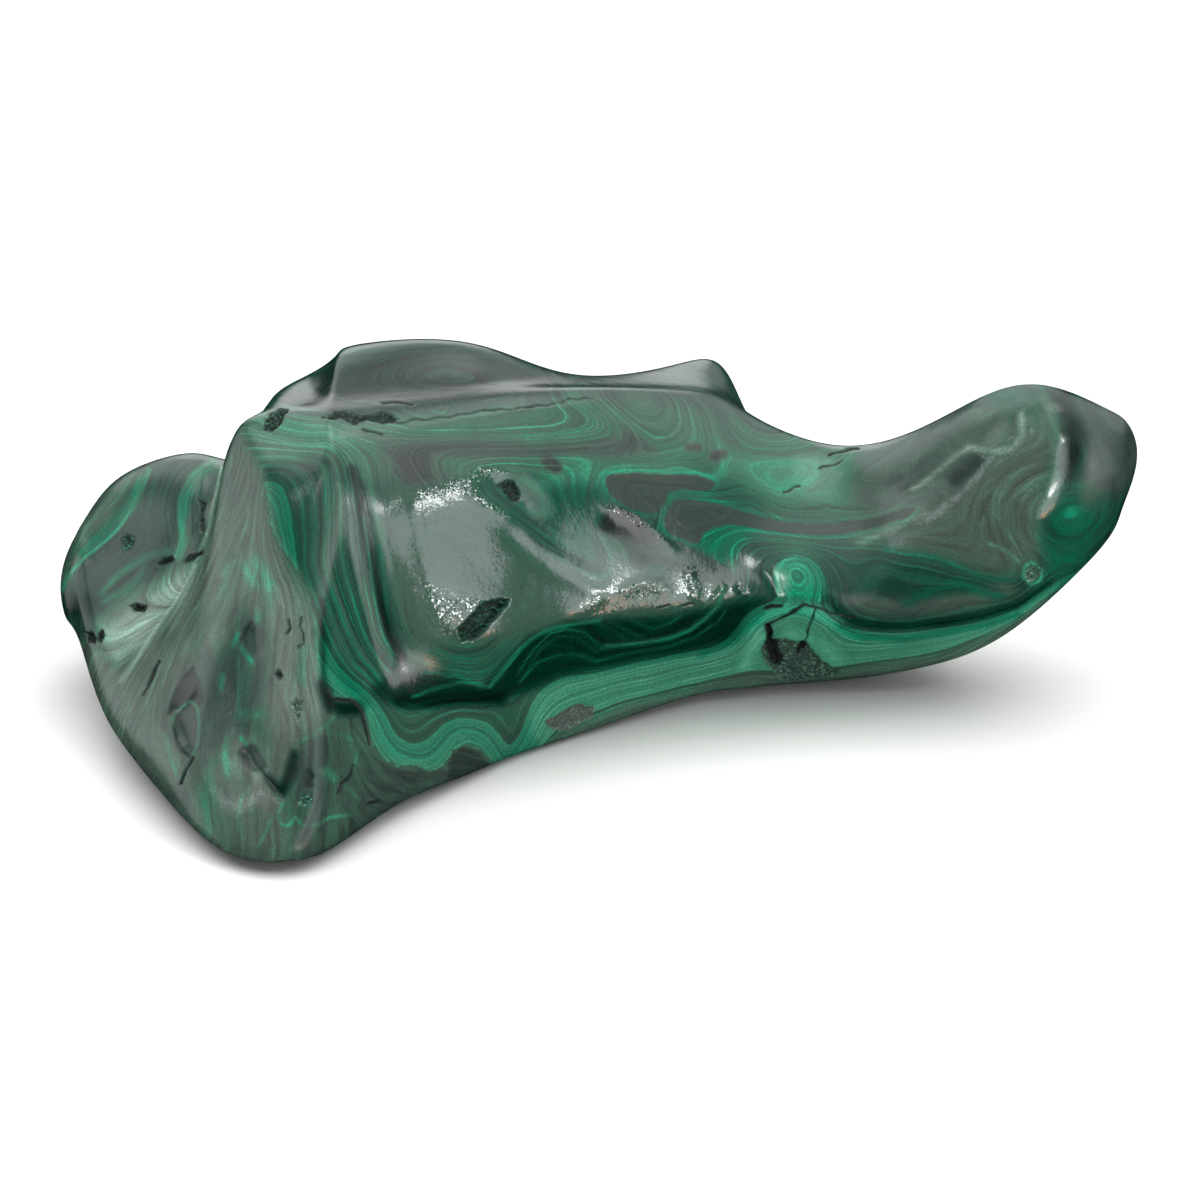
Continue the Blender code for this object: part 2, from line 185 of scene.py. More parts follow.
# Zones of one tint, laid one over the other: tone from 0, near black, to 1, lightest; greyness from 0 to 1;
# how strongly the layer lines show; edge softness in mm; and the outline.
ZONES = {
    # Greyer: partly the stone's own grey and partly a painted sheen of the light from above.
    "upper slope": (
        0.40, 0.42, 0.8, 1.5, "250,440 300,405 400,400 560,390 700,360 860,440 860,520 740,480 600,480 "
        "440,480 360,480 300,470"),
    "pale corner over the face": (
        0.52, 0.50, 0.4, 1.5, "240,440 262,415 330,420 350,440 330,452 290,455 262,468"),
    "dark top of the side bands": (
        0.28, 0.45, 0.8, 1.0, "300,456 340,452 356,470 360,500 345,492 322,492 308,478"),
    "grey-brown top corner": (
        0.26, 0.95, 0.6, 1.2, "384,447 470,441 520,443 436,456 438,470 450,480 410,488 396,474"),
    "wedge": (
        0.30, 0.80, 0.6, 0.6, "440,447 540,446 590,441 618,436 626,428 650,444 659,452 640,456 540,456 "
        "470,460"),
    "side bands": (
        0.33, 0.35, 0.9, 0.8, "300,470 335,470 366,500 378,600 395,640 414,690 380,695 345,665 322,600 "
        "315,540"),
    "light bands by the seam": (
        0.27, 0.02, 1.0, 0.8, "262,468 285,463 303,474 313,496 315,534 312,560 318,590 300,580 282,552 "
        "272,520"),
    # Greyer, with the lines nearly hidden: partly the stone's own grey and partly a painted reflection of the
    # right softbox.
    "window": (
        0.36, 0.55, 0.06, 1.0, "385,490 470,482 500,510 560,560 640,575 740,570 740,600 640,618 560,624 "
        "520,640 420,650 398,620 388,560"),
    "lens": (0.34, 0.32, 0.25, 1.2, "470,480 500,470 545,490 600,530 625,575 600,595 540,560 490,520"),
    "deep green middle": (
        0.29, 0.0, 0.25, 1.5, "540,492 580,480 604,488 600,512 596,530 612,548 590,556 560,540 545,520"),
    "pale middle slope": (
        0.47, 0.28, 0.5, 1.2, "560,459 660,456 700,440 720,440 760,456 850,458 870,500 780,500 716,476 "
        "610,472 600,486 570,480 540,486"),
    "green by the patches": (0.40, 0.05, 0.8, 0.8, "715,530 760,530 740,545 735,570 712,562 700,548 704,536"),
    "round the eye": (
        0.25, 0.32, 0.6, 1.0, "730,600 738,560 752,540 800,542 850,542 897,550 943,562 1000,578 1035,580 "
        "1020,600 960,612 900,620 850,615 800,600 760,600"),
    "slate strip above the dark line": (
        0.37, 0.8, 0.3, 0.8, "832,592 860,595 900,599 943,596 981,590 1010,580 1018,592 981,606 943,612 "
        "904,616 870,614 846,606"),
    "arm slope": (
        0.38, 0.75, 0.3, 2.0, "850,500 870,450 950,410 1000,390 1040,400 1010,440 940,480 900,520 860,522"),
    # Greyer, with faint lines: partly the stone's own grey and partly a painted reflection of the right softbox
    # on the arm.
    "arm": (
        0.41, 0.80, 0.12, 2.0, "860,535 900,515 940,480 1000,440 1045,410 1060,450 1052,500 1040,560 "
        "1000,575 940,560"),
    "arm top": (0.31, 0.0, 0.3, 1.2, "985,395 1020,384 1060,388 1050,400 1020,404 1000,404"),
    "tip": (
        0.30, 0.15, 0.10, 1.2, "1060,388 1140,430 1135,500 1110,560 1070,590 1045,575 1040,520 1056,450 "
        "1050,400"),
    "tip face": (
        0.29, 0.85, 0.1, 1.2, "1078,404 1100,402 1128,420 1145,440 1140,470 1120,492 1096,490 1086,470 "
        "1086,440 1078,420"),
    "dark crescent": (
        0.03, 0.0, 0.1, 1.0, "1050,390 1064,394 1076,416 1084,436 1082,458 1076,474 1068,484 1062,470 "
        "1066,450 1064,425"),
    "tip eye glow": (
        0.36, 0.0, 0.05, 1.2, "1044,520 1050,502 1062,492 1080,490 1096,497 1108,505 1104,525 1092,542 "
        "1070,552 1052,545"),
    "tip eye core": (0.50, 0.0, 0.05, 0.8, "1063,514 1066,507 1072,505 1080,509 1080,517 1072,521 1065,519"),
    "eye": (
        0.34, 0.0, 0.8, 0.5, "778,598 775,588 773,578 775,568 780,560 788,556 798,555 809,558 819,566 "
        "824,576 826,588 822,600"),
    "third dark patch": (0.24, 0.55, 0.2, 0.4, BODY_LAYERS["third dark patch"][1]),
    "slate spot": (
        0.06, 0.75, 0.1, 0.6, "603,518 606,509 618,508 636,516 648,528 660,540 650,544 634,538 616,535 "
        "602,529"),
    "lower light band": (
        0.43, 0.50, 0.8, 0.8, "520,700 560,680 620,668 700,652 740,640 772,606 830,606 860,632 943,630 "
        "1019,612 1055,590 1060,620 950,670 860,690 700,700 600,730 540,750"),
    "scallops": (0.33, 0.40, 0.8, 0.8, "370,715 400,735 430,735 470,722 510,740 500,770 430,775 390,770"),
    "underside strip": (
        0.50, 0.70, 0.3, 0.6, "500,775 560,735 620,706 680,692 750,672 800,676 860,667 904,660 943,654 "
        "975,642 1012,624 1045,600 1060,605 1000,650 900,700 700,720 560,800"),
    "front under the brow": (
        0.11, 0.0, 0.15, 0.8, "372,690 398,665 415,667 450,676 482,688 500,668 530,637 569,622 609,620 "
        "660,619 740,602 765,600 750,612 735,640 690,652 650,658 600,668 560,676 530,690 500,700 450,703 "
        "410,706 385,702"),
    "dark line under the arm": (
        0.08, 0.0, 0.5, 0.6, "832,600 846,614 870,622 904,624 943,619 981,613 1019,602 1050,580 1052,584 "
        "1019,608 981,619 943,626 904,629 878,629 850,624 834,610"),
    "grey under the dark front": (
        0.36, 0.45, 0.8, 0.8, "385,706 410,710 450,706 500,703 530,695 524,720 505,752 485,728 450,718 "
        "425,740 400,740"),
    "basin": (0.16, 0.50, 0.7, 1.5, "290,400 330,365 400,345 470,348 560,378 560,396 400,412 330,415"),
    "back lobe": (0.31, 0.55, 0.6, 1.5, "560,375 640,366 712,366 760,420 720,415 680,405 600,400"),
}
LOBE_ZONES = {
    "lobe": (0.27, 0.45, 0.35, 1.0, LOBE_OUTLINE),
    "lobe edge": (0.42, 0.65, 0.6, 1.5, "40,640 40,560 90,490 150,450 140,480 118,515 88,545 68,575 66,640"),
    "lobe foot": (0.73, 0.75, 0.3, 1.5, "100,625 130,600 170,575 200,560 200,600 160,640 120,668 100,660"),
}
FACE_ZONES = {
    # Its greyness is partly the stone's own grey and partly a painted sheen of the light from the left.
    "grey face": (0.46, 0.78, 0.12, 1.0, FACE_OUTLINE),
    "mauve flank": (
        0.50, 0.92, 0.2, 1.5, "272,590 285,580 303,600 312,640 314,700 300,740 285,760 272,700 268,640"),
    "lower face": (
        0.30, 0.52, 0.2, 1.5, "207,655 228,640 233,620 245,605 262,620 267,640 268,680 262,700 270,740 "
        "262,745 250,735 232,735 225,745 210,760 200,775 196,765 200,740 204,700 199,680"),
    "bottom of the face": (0.40, 0.75, 0.15, 3.0, "150,780 200,770 250,790 290,830 300,870 200,900 140,840"),
    "foot": (
        0.33, 0.72, 0.1, 1.2, "300,742 316,725 330,708 362,712 372,745 400,770 500,770 420,830 320,870 "
        "290,860 285,830 300,800 290,770"),
    "green of the foot": (0.33, 0.50, 0.1, 1.0, "278,800 285,825 315,825 325,810 330,770 320,760 300,770"),
    "mauve patch": (0.44, 1.0, 0.1, 0.4, "253,772 262,775 275,797 282,812 270,814 258,806 246,790"),
    "leaf tip": (
        0.06, 0.1, 0.1, 0.5, "262,772 272,776 280,784 286,768 292,750 299,752 297,772 290,788 283,798 "
        "274,792 266,782"),
    "upper leaf": (
        0.17, 0.65, 0.2, 0.3, "238,752 244,746 252,743 258,748 262,756 267,766 262,772 252,771 243,764"),
    "dark lens": (
        0.18, 0.65, 0.2, 0.3, "193,668 200,680 203,700 199,708 190,702 178,708 169,714 170,703 178,688 "
        "186,675"),
    "outlined oval": (
        0.32, 0.65, 0.3, 0.25, "174,716 183,705 192,702 198,711 199,735 196,750 190,757 184,752 176,738 "
        "173,725"),
    "dark eye": (0.24, 0.70, 0.2, 0.35, "249,622 258,622 265,632 266,642 262,652 255,658 248,651 243,640"),
    "half disc": (0.24, 0.85, 0.2, 0.3, "448,764 453,752 462,747 470,747 480,752 489,764 470,790 450,780"),
}
ALL_ZONES = (*ZONES.values(), *LOBE_ZONES.values(), *FACE_ZONES.values())

# Streaks: tone, greyness, half width and edge softness in mm, and the line that the streak follows.
STREAKS = {
    "lobe bright line": (
        0.62, 0.0, 0.18, 0.3, "149,469 140,490 132,510 120,527 106,541 84,558 69,575 63,590"),
    "lobe bright line shade": (0.45, 0.0, 0.4, 0.8, "138,480 128,505 115,522 100,536 80,552"),
    "lobe broad band": (0.50, 0.10, 0.6, 0.5, "215,463 195,476 184,500 183,524 184,541 178,556"),
    "lobe first lesser band": (0.48, 0.10, 0.3, 0.5, "166,551 144,558 123,571 110,583 98,600"),
    "lobe second lesser band": (0.44, 0.15, 0.25, 0.5, "144,566 135,583 118,595 96,605"),
    "lobe dark foot": (0.10, 0.05, 1.2, 1.0, "72,606 90,603"),
    # A painted highlight: a pale grey line along the crest of the face, where it catches the light.
    "painted highlight on the crest edge": (0.85, 0.8, 0.12, 0.25, "222,468 216,495 208,529 195,566 176,600 157,626 137,658 120,682"),
    "dark side band": (
        0.04, 0.0, 0.55, 0.5, "352,470 359,489 366,533 374,574 380,605 388,632 400,655 408,680"),
    "bright edge of the dark side band": (
        0.45, 0.0, 0.15, 0.3, "364,515 368,545 372,575 376,605 382,632 393,657"),
    "light patch by the seam": (0.27, 0.0, 0.8, 0.6, "321,632 326,655 345,680 366,700"),
    "dark under the corner": (0.03, 0.0, 0.7, 0.6, "400,700 430,701 460,698 500,698"),
    "high arch under the brow": (
        0.46, 0.05, 0.07, 0.25, "519,672 533,650 550,634 566,629 583,632 594,641 603,650"),
    "inner arch under the brow": (0.34, 0.0, 0.06, 0.3, "524,676 541,648 558,636 575,637 589,647 597,653"),
    "low arch under the brow": (
        0.44, 0.0, 0.07, 0.25, "519,683 538,662 561,654 578,655 597,661 628,653 667,647 695,637 718,622 "
        "726,610"),
    "speckled band under the brow": (
        0.50, 0.15, 0.22, 0.35, "606,646 639,643 670,638 690,630 706,618 718,606 723,590"),
    "first slant under the brow": (0.36, 0.0, 0.05, 0.3, "594,622 612,630 628,640"),
    "second slant under the brow": (0.36, 0.0, 0.05, 0.3, "608,622 626,630 642,638"),
    "notched line under the brow": (0.44, 0.0, 0.06, 0.3, "631,620 653,629 670,623 684,614"),
    "bright arcs below the eye": (
        0.52, 0.0, 0.5, 0.6, "752,628 764,616 780,611 800,611 820,616 838,628 856,637"),
    "pale arcs over the host rock": (0.60, 0.35, 0.6, 0.8, "745,664 752,650 760,637"),
    "pale arcs right of the host rock": (0.58, 0.30, 0.8, 1.0, "790,634 808,636 822,646 834,656"),
    "dark run of the band": (0.26, 0.0, 0.25, 0.5, "700,655 730,643 748,626 762,612"),
    "second dark run of the band": (0.26, 0.0, 0.25, 0.5, "840,626 860,637 904,639 943,633 981,626 1019,614"),
    "ring round the eye": (
        0.50, 0.05, 0.12, 0.25, "779,590 777,579 778,569 785,560 797,557 809,560 818,568 823,580 824,592 "
        "819,601"),
    "dark ring of the eye": (
        0.24, 0.0, 0.14, 0.3, "788,588 783,580 783,571 788,564 797,561 806,563 812,570 815,580 813,592"),
    "first front line": (
        0.50, 0.05, 0.12, 0.25, "413,697 425,692 440,687 460,683 478,684 489,687 495,678 508,663 520,648"),
    "wide front line": (
        0.48, 0.10, 0.14, 0.3, "490,687 500,676 511,662 520,650 530,640 543,632 555,628 575,624 600,620"),
    "second front line": (0.48, 0.05, 0.12, 0.25, "422,673 436,673 448,677 456,675 466,679 480,686"),
    "dark by the seam": (0.03, 0.0, 0.7, 0.6, "323,686 330,705 345,709 358,708"),
    "dark notch": (0.05, 0.0, 0.3, 0.4, "322,600 321,630 323,660 324,690"),
    "arm green one": (0.38, 0.0, 0.3, 0.6, "886,550 939,560 978,576 1013,581"),
    "arm green two": (0.36, 0.0, 0.5, 0.8, "907,603 928,592 960,584 999,595"),
    "arm dark patch": (0.16, 0.6, 0.8, 0.7, "955,478 968,469 980,463"),
    "face wisp one": (0.62, 0.2, 0.4, 0.7, "244,566 252,580 262,590"),
    "face wisp two": (0.60, 0.2, 0.45, 0.6, "256,560 262,572 271,586"),
    "face wisp three": (0.52, 0.4, 0.3, 0.8, "228,560 224,590 210,620 196,650"),
    "face wisp four": (0.50, 0.4, 0.3, 0.8, "268,600 262,612 258,620"),
    "face wisp five": (0.56, 0.35, 0.4, 1.2, "306,650 300,665 302,680"),
    "face eye line": (0.03, 0.4, 0.12, 0.2, "252,622 247,629 242,638"),
    "face eye rim one": (0.50, 0.05, 0.25, 0.3, "238,634 233,644"),
    "face eye rim two": (0.50, 0.05, 0.28, 0.3, "242,648 247,656 252,662"),
    "face green line": (0.46, 0.2, 0.12, 0.25, "239,658 238,680 238,712"),
    "face green spot": (0.50, 0.1, 0.3, 0.4, "222,676 221,687"),
    "face green bar": (0.44, 0.2, 0.45, 0.6, "241,714 252,715 260,714"),
    "face light spot": (0.62, 0.0, 0.25, 0.3, "241,738 246,744"),
    "face green run": (0.55, 0.15, 0.25, 0.5, "228,738 225,755 227,775"),
    "face low green one": (0.46, 0.3, 0.5, 0.8, "215,760 208,775 205,800 207,830"),
    "face low green two": (0.55, 0.2, 0.12, 0.25, "250,786 241,800 238,815 239,832"),
    "oval outline": (0.60, 0.2, 0.12, 0.2, "174,716 180,709 187,703 192,701 197,707 199,722 198,742 192,757"),
    "oval dark side": (0.04, 0.4, 0.12, 0.2, "174,728 177,740 183,751 189,756"),
    # A painted shadow: near-black tone on the upper edge of the lens hollow, where shade falls into it.
    "painted shadow on the lens's upper edge": (0.04, 0.5, 0.15, 0.3, "193,668 184,678 176,692 169,713"),
    "outer light loop": (0.55, 0.25, 0.10, 0.25, "173,716 167,735 170,758 177,775 182,780"),
    "foot outline": (0.58, 0.2, 0.12, 0.25, "272,818 262,840 258,846"),
    "foot green seam": (
        0.56, 0.15, 0.12, 0.25, "283,803 277,815 281,825 290,825 295,817 303,826 318,825 330,817 350,815"),
    "foot vein one": (0.52, 0.2, 0.12, 0.25, "334,717 322,728 310,737 300,742"),
    "foot vein two": (0.46, 0.35, 0.10, 0.25, "328,720 329,745 329,770 325,790 320,812"),
    "foot vein three": (0.50, 0.3, 0.10, 0.25, "358,750 356,760 354,768"),
    "foot vein four": (0.50, 0.3, 0.10, 0.25, "345,786 352,792 360,800"),
    "foot vein five": (0.42, 0.4, 0.10, 0.25, "312,738 325,732 345,736 352,740"),
    "dark edge of the foot": (0.20, 0.45, 0.3, 1.1, "322,740 319,770 319,795 314,815 308,830 300,842"),
    "foot blob": (0.52, 0.25, 0.45, 0.5, "326,772 334,778"),
    "brown spot one": (0.24, 1.0, 0.7, 0.3, "548,461 556,467"),
    "brown spot two": (0.27, 1.0, 0.40, 0.3, "688,447 698,447"),
    "brown spot three": (0.25, 1.0, 0.50, 0.3, "715,456 723,454"),
    "ring round the small hole": (
        0.62, 0.15, 0.15, 0.25, "1032,562 1042,570 1040,581 1030,584 1023,576 1025,566 1032,562"),
    "streak by the small hole": (0.62, 0.45, 0.16, 0.3, "990,544 1000,548 1010,553 1018,562"),
    # The four pale grey streaks along the arm's ridges are painted highlights: lighter tone where the ridges
    # catch the light.
    "painted highlight on the first ridge of the arm": (0.72, 0.8, 0.12, 0.55, "861,543 880,534 897,526 912,518 926,511"),
    "painted highlight on the second ridge of the arm": (0.78, 0.9, 0.12, 0.55, "913,489 930,477 945,465 958,454 970,447"),
    "painted highlight on the top of the second ridge": (
        0.80, 0.9, 0.16, 0.6, "970,447 985,451 1000,451 1013,448 1020,438 1022,424 1021,414"),
    "painted highlight on the right ridge of the arm": (
        0.54, 0.75, 0.25, 0.8, "1042,398 1051,408 1056,430 1056,462 1050,490 1041,510"),
}

# Broken-out places with a sharp edge: depth in mm, how much crystal grain stands up inside, tone and
# greyness of the bottom, and the outline.
HOLLOWS = {
    "crystal-lined hole": (
        1.1, 0.5, 0.12, 0.0, "459,630 470,617 485,604 500,598 511,598 506,606 496,620 484,632 472,641 "
        "462,640"),
    "small hole": (0.6, 0.5, 0.42, 0.45, "1025,570 1029,565 1036,566 1040,572 1036,579 1029,580 1025,576"),
    "black pit in the eye hollow": (
        0.3, 0.5, 0.06, 0.2, "499,485 506,480 514,482 521,490 519,501 511,501 503,494"),
    "long pocket behind the rim": (
        0.5, 0.3, 0.10, 0.5, "323,418 330,414 345,411 360,415 375,412 390,414 398,418 392,423 370,421 "
        "352,424 338,419"),
    "rough pocket at the corner": (0.5, 0.5, 0.12, 0.4, "262,430 268,415 280,409 290,410 283,420 272,432"),
    "host rock on the lower edge": (
        0.30, 0.45, 0.32, 0.5, "762,648 766,640 775,638 786,640 798,641 806,643 815,652 822,661 832,667 "
        "841,671 832,676 815,679 798,681 781,679 771,669 764,660"),
    "sandy inclusion": (
        0.25, 0.35, 0.38, 0.9, "546,721 560,713 577,705 593,707 592,717 576,726 559,731 550,729"),
    "pits behind the crest": (0.4, 0.4, 0.05, 0.5, "130,606 137,602 147,606 143,612 134,611"),
    "first slot in the valley": (0.5, 0.2, 0.08, 0.4, "156,564 163,558 172,555 174,559 167,564 160,567"),
    "second slot in the valley": (0.5, 0.2, 0.08, 0.4, "184,560 192,553 203,550 202,555 193,560 187,562"),
    "third slot in the valley": (0.4, 0.3, 0.10, 0.4, "199,498 206,501 204,515 203,532 198,529 200,514"),
    "notch at the left": (0.5, 0.2, 0.01, 0.3, "85,632 91,629 97,636 95,642 88,641"),
    "pit beside the notch": (0.4, 0.3, 0.04, 0.3, "98,633 103,630 106,636 102,642 98,639"),
    "pit with pale crumbs": (0.4, 0.6, 0.25, 0.3, "119,539 125,533 133,537 131,546 124,550"),
    "pale pit on the flank": (0.35, 0.5, 0.40, 0.7, "291,703 297,698 303,702 302,712 298,720 293,714"),
    "small pit on the flank": (0.3, 0.3, 0.10, 0.6, "275,675 280,670 284,675 280,680"),
    "speckled pit of the foot": (0.35, 0.6, 0.30, 0.2, "298,801 303,796 311,795 313,801 307,807 300,805"),
    "dark spot of the foot": (0.2, 0.2, 0.10, 0.4, "303,786 304,775 311,768 315,775 312,786 307,790"),
}

# Cracks: depth and half width in mm, and the line.
CRACKS = {
    "crack behind the rim": (0.25, 0.05, "395,423 425,419 455,416 490,410 535,407 592,397"),
    "short crack behind the rim": (0.3, 0.10, "361,428 381,435"),
    "crack over the pocket": (0.3, 0.10, "382,403 413,403"),
    "crack at the eye": (
        0.4, 0.09, "768,625 776,621 787,615 797,608 803,604 812,607 822,611 836,614 852,617"),
    "branch of the crack at the eye": (0.3, 0.06, "816,609 811,623 806,638 799,652"),
    "left branch at the eye": (0.5, 0.32, "768,627 769,638 774,650 777,661"),
    "dash at the eye": (0.4, 0.14, "765,609 771,607 781,606"),
    "first crack in the trough": (0.4, 0.14, "830,455 845,450 857,449"),
    "second crack in the trough": (0.3, 0.10, "820,468 841,461"),
    "third crack in the trough": (0.3, 0.10, "783,492 801,486"),
    "slot on the crest": (0.5, 0.18, "158,662 153,672 147,684"),
    "lower slot on the crest": (0.3, 0.10, "147,686 143,695"),
    "crack under the oval": (0.4, 0.14, "193,757 185,772 181,783"),
    "crack at the seam": (0.4, 0.18, "327,690 334,698 345,700 356,702 363,712 366,728 370,744"),
    "crack in the foot": (0.4, 0.14, "355,766 350,776 343,784 339,792"),
    "dash in the foot": (0.3, 0.16, "369,804 375,802 380,801"),
    "squiggle on the flank": (0.25, 0.08, "288,620 290,628 287,633"),
    "second squiggle on the flank": (0.25, 0.08, "300,618 298,626 304,634 303,645 298,648"),
    "dash by the brow": (0.3, 0.10, "684,606 692,604"),
    "dash near the brow": (0.25, 0.08, "658,608 668,606"),
}

# Gentle ridges and grooves left by the polish: height in mm, half width, softness and the line.
RELIEF = {
    "edge of the window": (
        0.14, 0.05, 0.45, "367,486 371,500 376,522 381,544 385,566 390,588 397,610 403,628"),
    "second rise of the window": (0.14, 0.1, 0.9, "414,500 420,540 430,585 438,606 452,628 464,644"),
    "hollow of the window": (-0.12, 1.5, 3.0, "450,520 470,555 480,570"),
    "rim of the eye hollow": (0.24, 0.1, 0.7, "512,475 495,468 478,468 467,478 472,492 490,508 510,514"),
    "upper edge of the window": (0.18, 0.1, 0.7, "416,488 436,486 450,482 462,474"),
    "eye hollow": (-0.35, 0.6, 1.8, "494,484 512,492 524,500"),
    "long groove": (-0.15, 0.3, 1.2, "510,535 530,556 556,574 590,590"),
    "long ridge": (0.10, 0.3, 1.0, "486,504 520,530 556,556 600,582"),
    "rise by the dark spot": (0.22, 0.1, 0.7, "604,506 622,508 640,520 656,532 672,550"),
    "dark spot": (-0.20, 0.6, 1.2, "610,520 632,530"),
    "first rise at the brow": (0.22, 0.2, 0.8, "580,612 592,604 606,597"),
    "second rise at the brow": (0.22, 0.3, 0.9, "622,592 640,584 652,582 664,590"),
    "third rise at the brow": (0.25, 0.2, 0.8, "688,572 694,586 696,598"),
    "fourth rise at the brow": (0.25, 0.2, 0.7, "722,588 714,600 700,618 690,632"),
    "fifth rise at the brow": (0.20, 0.1, 0.6, "738,586 742,594"),
    "first ridge of the arm": (0.22, 0.05, 0.6, "866,538 882,533 894,525 906,517 920,511"),
    "second ridge of the arm": (
        0.28, 0.05, 0.7, "908,491 920,485 934,473 945,463 966,452 985,450 1000,447 1014,434 1018,420 "
        "1019,404"),
    "rise by the eye": (0.8, 3.0, 3.0, "838,560 836,600"),
    "right ridge of the arm": (0.9, 2.6, 2.6, "1047,430 1050,447 1048,470 1041,495 1032,512"),
    "ridge by the eye": (0.25, 0.1, 0.8, "764,571 771,582 777,596"),
    "rim of the basin": (0.14, 0.1, 0.8, "345,436 395,430 440,424 500,415 560,408 600,402"),
    "leaf hollow": (-0.30, 0.4, 0.8, "250,757 262,772 280,794"),
    "oval hollow": (-0.30, 0.8, 0.8, "184,722 188,742"),
    "lens hollow": (-0.30, 0.6, 0.8, "180,706 190,690"),
    "eye hollow of the face": (-0.25, 0.5, 0.8, "254,632 256,648"),
    "folds of the valley": (0.20, 0.2, 0.8, "205,470 198,500 190,540 176,570 150,600"),
    "lower folds of the valley": (-0.20, 0.2, 0.8, "212,500 205,540 190,575 165,605 130,635"),
}

# Where crystal grain breaks the polish: amount, softness in mm and the outline.
GRAINY_PLACES = {
    "window": (
        0.35, 1.5, "384,488 440,476 470,464 515,468 520,478 490,498 520,530 560,575 600,600 560,624 "
        "520,640 420,650 398,620"),
    "top left of the window": (0.9, 0.7, "410,486 440,484 446,470 458,466 464,478 452,494 424,498 411,494"),
    "rim of the eye hollow": (
        1.0, 0.6, "462,472 480,462 515,462 524,472 500,476 482,482 482,492 498,504 516,514 508,522 "
        "480,508 464,490"),
    "second rise of the window": (0.6, 0.8, "412,484 420,484 430,560 432,582 424,582 416,540"),
    "low left of the window": (
        1.0, 1.2, "424,578 446,590 482,596 486,606 466,622 458,646 446,640 436,618 426,600"),
    "brow": (0.6, 1.0, "575,608 600,590 640,576 655,560 700,566 745,578 750,600 700,611 640,618 580,626"),
    "first rise of the brow": (1.0, 0.8, "576,612 590,596 610,590 614,602 600,612 582,620"),
    "second rise of the brow": (1.0, 0.8, "616,596 630,582 650,576 668,584 664,598 640,602 622,604"),
    "third rise of the brow": (1.0, 0.6, "684,564 694,564 704,582 702,602 690,602 686,584"),
    "fourth rise of the brow": (1.0, 0.6, "718,586 728,582 724,598 708,618 694,632 690,628 704,612"),
    "fifth rise of the brow": (1.0, 0.6, "734,580 744,578 752,590 750,600 738,598"),
    "edge of the dark spot": (
        0.9, 0.5, "598,508 606,502 622,506 646,518 664,534 670,546 652,538 634,524 612,514"),
    "second ridge of the arm": (
        0.9, 0.5, "910,494 930,474 950,458 968,442 990,443 1012,445 1014,402 1026,402 1028,440 1012,456 "
        "986,458 966,457 946,468 918,492"),
    "first ridge of the arm": (0.6, 0.6, "858,547 876,532 900,520 925,506 926,514 900,532 876,544"),
    "edge of the arm": (0.4, 0.6, "1040,396 1050,396 1062,449 1046,520 1034,518 1050,449"),
    "top": (0.12, 2.0, "380,440 700,360 1050,390 860,500 560,480"),
}

# Creases and seams that the buff doesn't reach: dullness, half width and softness in mm, and the line.
DULL_PLACES = {
    "edge of the window": (0.10, 0.3, 0.5, "367,486 371,500 376,522 381,544 385,566 390,588 397,610 403,628"),
    "right of the dark spot": (0.25, 1.2, 1.5, "622,545 645,562 665,575"),
    "top of the arm": (0.35, 0.8, 1.5, "990,392 1020,388 1050,392"),
    "dark side band": (0.4, 0.4, 0.8, "352,470 358,500 361,530 362,572"),
    "corner of the window": (0.2, 0.8, 1.0, "394,636 402,652 412,664"),
    "eye hollow of the window": (0.4, 0.8, 1.0, "514,478 530,490 542,508"),
    "face of the tip": (0.35, 2.0, 2.0, "1094,426 1106,446 1108,470 1098,492"),
    "crease below the side bands": (0.4, 0.6, 0.8, "362,572 368,597 374,618 379,640 386,662"),
    "seam of the face": (
        0.4, 0.6, 1.0, "338,490 334,510 330,535 326,555 323,575 320,595 317,615 314,635 314,655 318,680 "
        "322,705"),
    "edge of the foot": (0.6, 0.4, 1.2, "322,705 320,735 318,770 319,795 314,815 308,830 300,842"),
}

# A drawn line is filled in with pixels this far apart before the growth layers are fitted through it.
LINE_SPACING = 9.0
# The fitted levels count distances in spreads of this many mm. Slack lets them miss a drawn line by a
# little, so that they stay smooth.
SPREAD = 30.0
SLACK = 0.0008
# The least and the most levels to a mm of surface that a layer's thickness is worked out from.
SLOPE_RANGE = (0.05, 4.0)
# Points worked out at a time, to spare memory.
ROWS_AT_ONCE = 8000
# The drawn marks fade out where the surface turns past the camera's view, over this much of the cosine.
FACING_EDGE = 0.15
# A distance in mm that is farther than any mark reaches.
FAR_AWAY = 50.0

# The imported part's facets are welded within so many metres, joined into quads at up to this angle and smoothed
# this many times. The hidden side then keeps a share of its faces.
WELD = 1e-6
FLATTEST_JOIN = math.radians(60)
SMOOTHING = 2
HIDDEN_SHARE = 0.3
# Marks with a softer edge than this, in mm, do without a finer mesh.
FINE_EDGE = 0.45
# The mesh is made finer twice round the damage, within these distances in mm of its edge.
DAMAGE_REACHES = (0.5, 0.28)
# Damage has an edge that wanders, in pixels, and is ragged, in mm. The sizes of the unevenness are in mm, and
# its waves are counted.
EDGE_WANDER = 1.2
EDGE_WANDER_SIZE = 3.0
RAGGED_SIZE = 0.9
RAGGED_HOLLOW = 0.08
RAGGED_CRACK = 0.03
CRACK_TONE = 0.02
CRACK_GREY = 0.3
CRYSTAL_SIZE = 0.4
WAVES = 6
# In mm: the softness of a broken place's edge, how far outside it the broken colours reach, how far inside
# it the middle of its wall stands, and the softness of the wall.
BROKEN_EDGE = 0.16
BROKEN_REACH = 0.3
WALL_MIDDLE = 0.15
WALL_SOFTNESS = 0.3

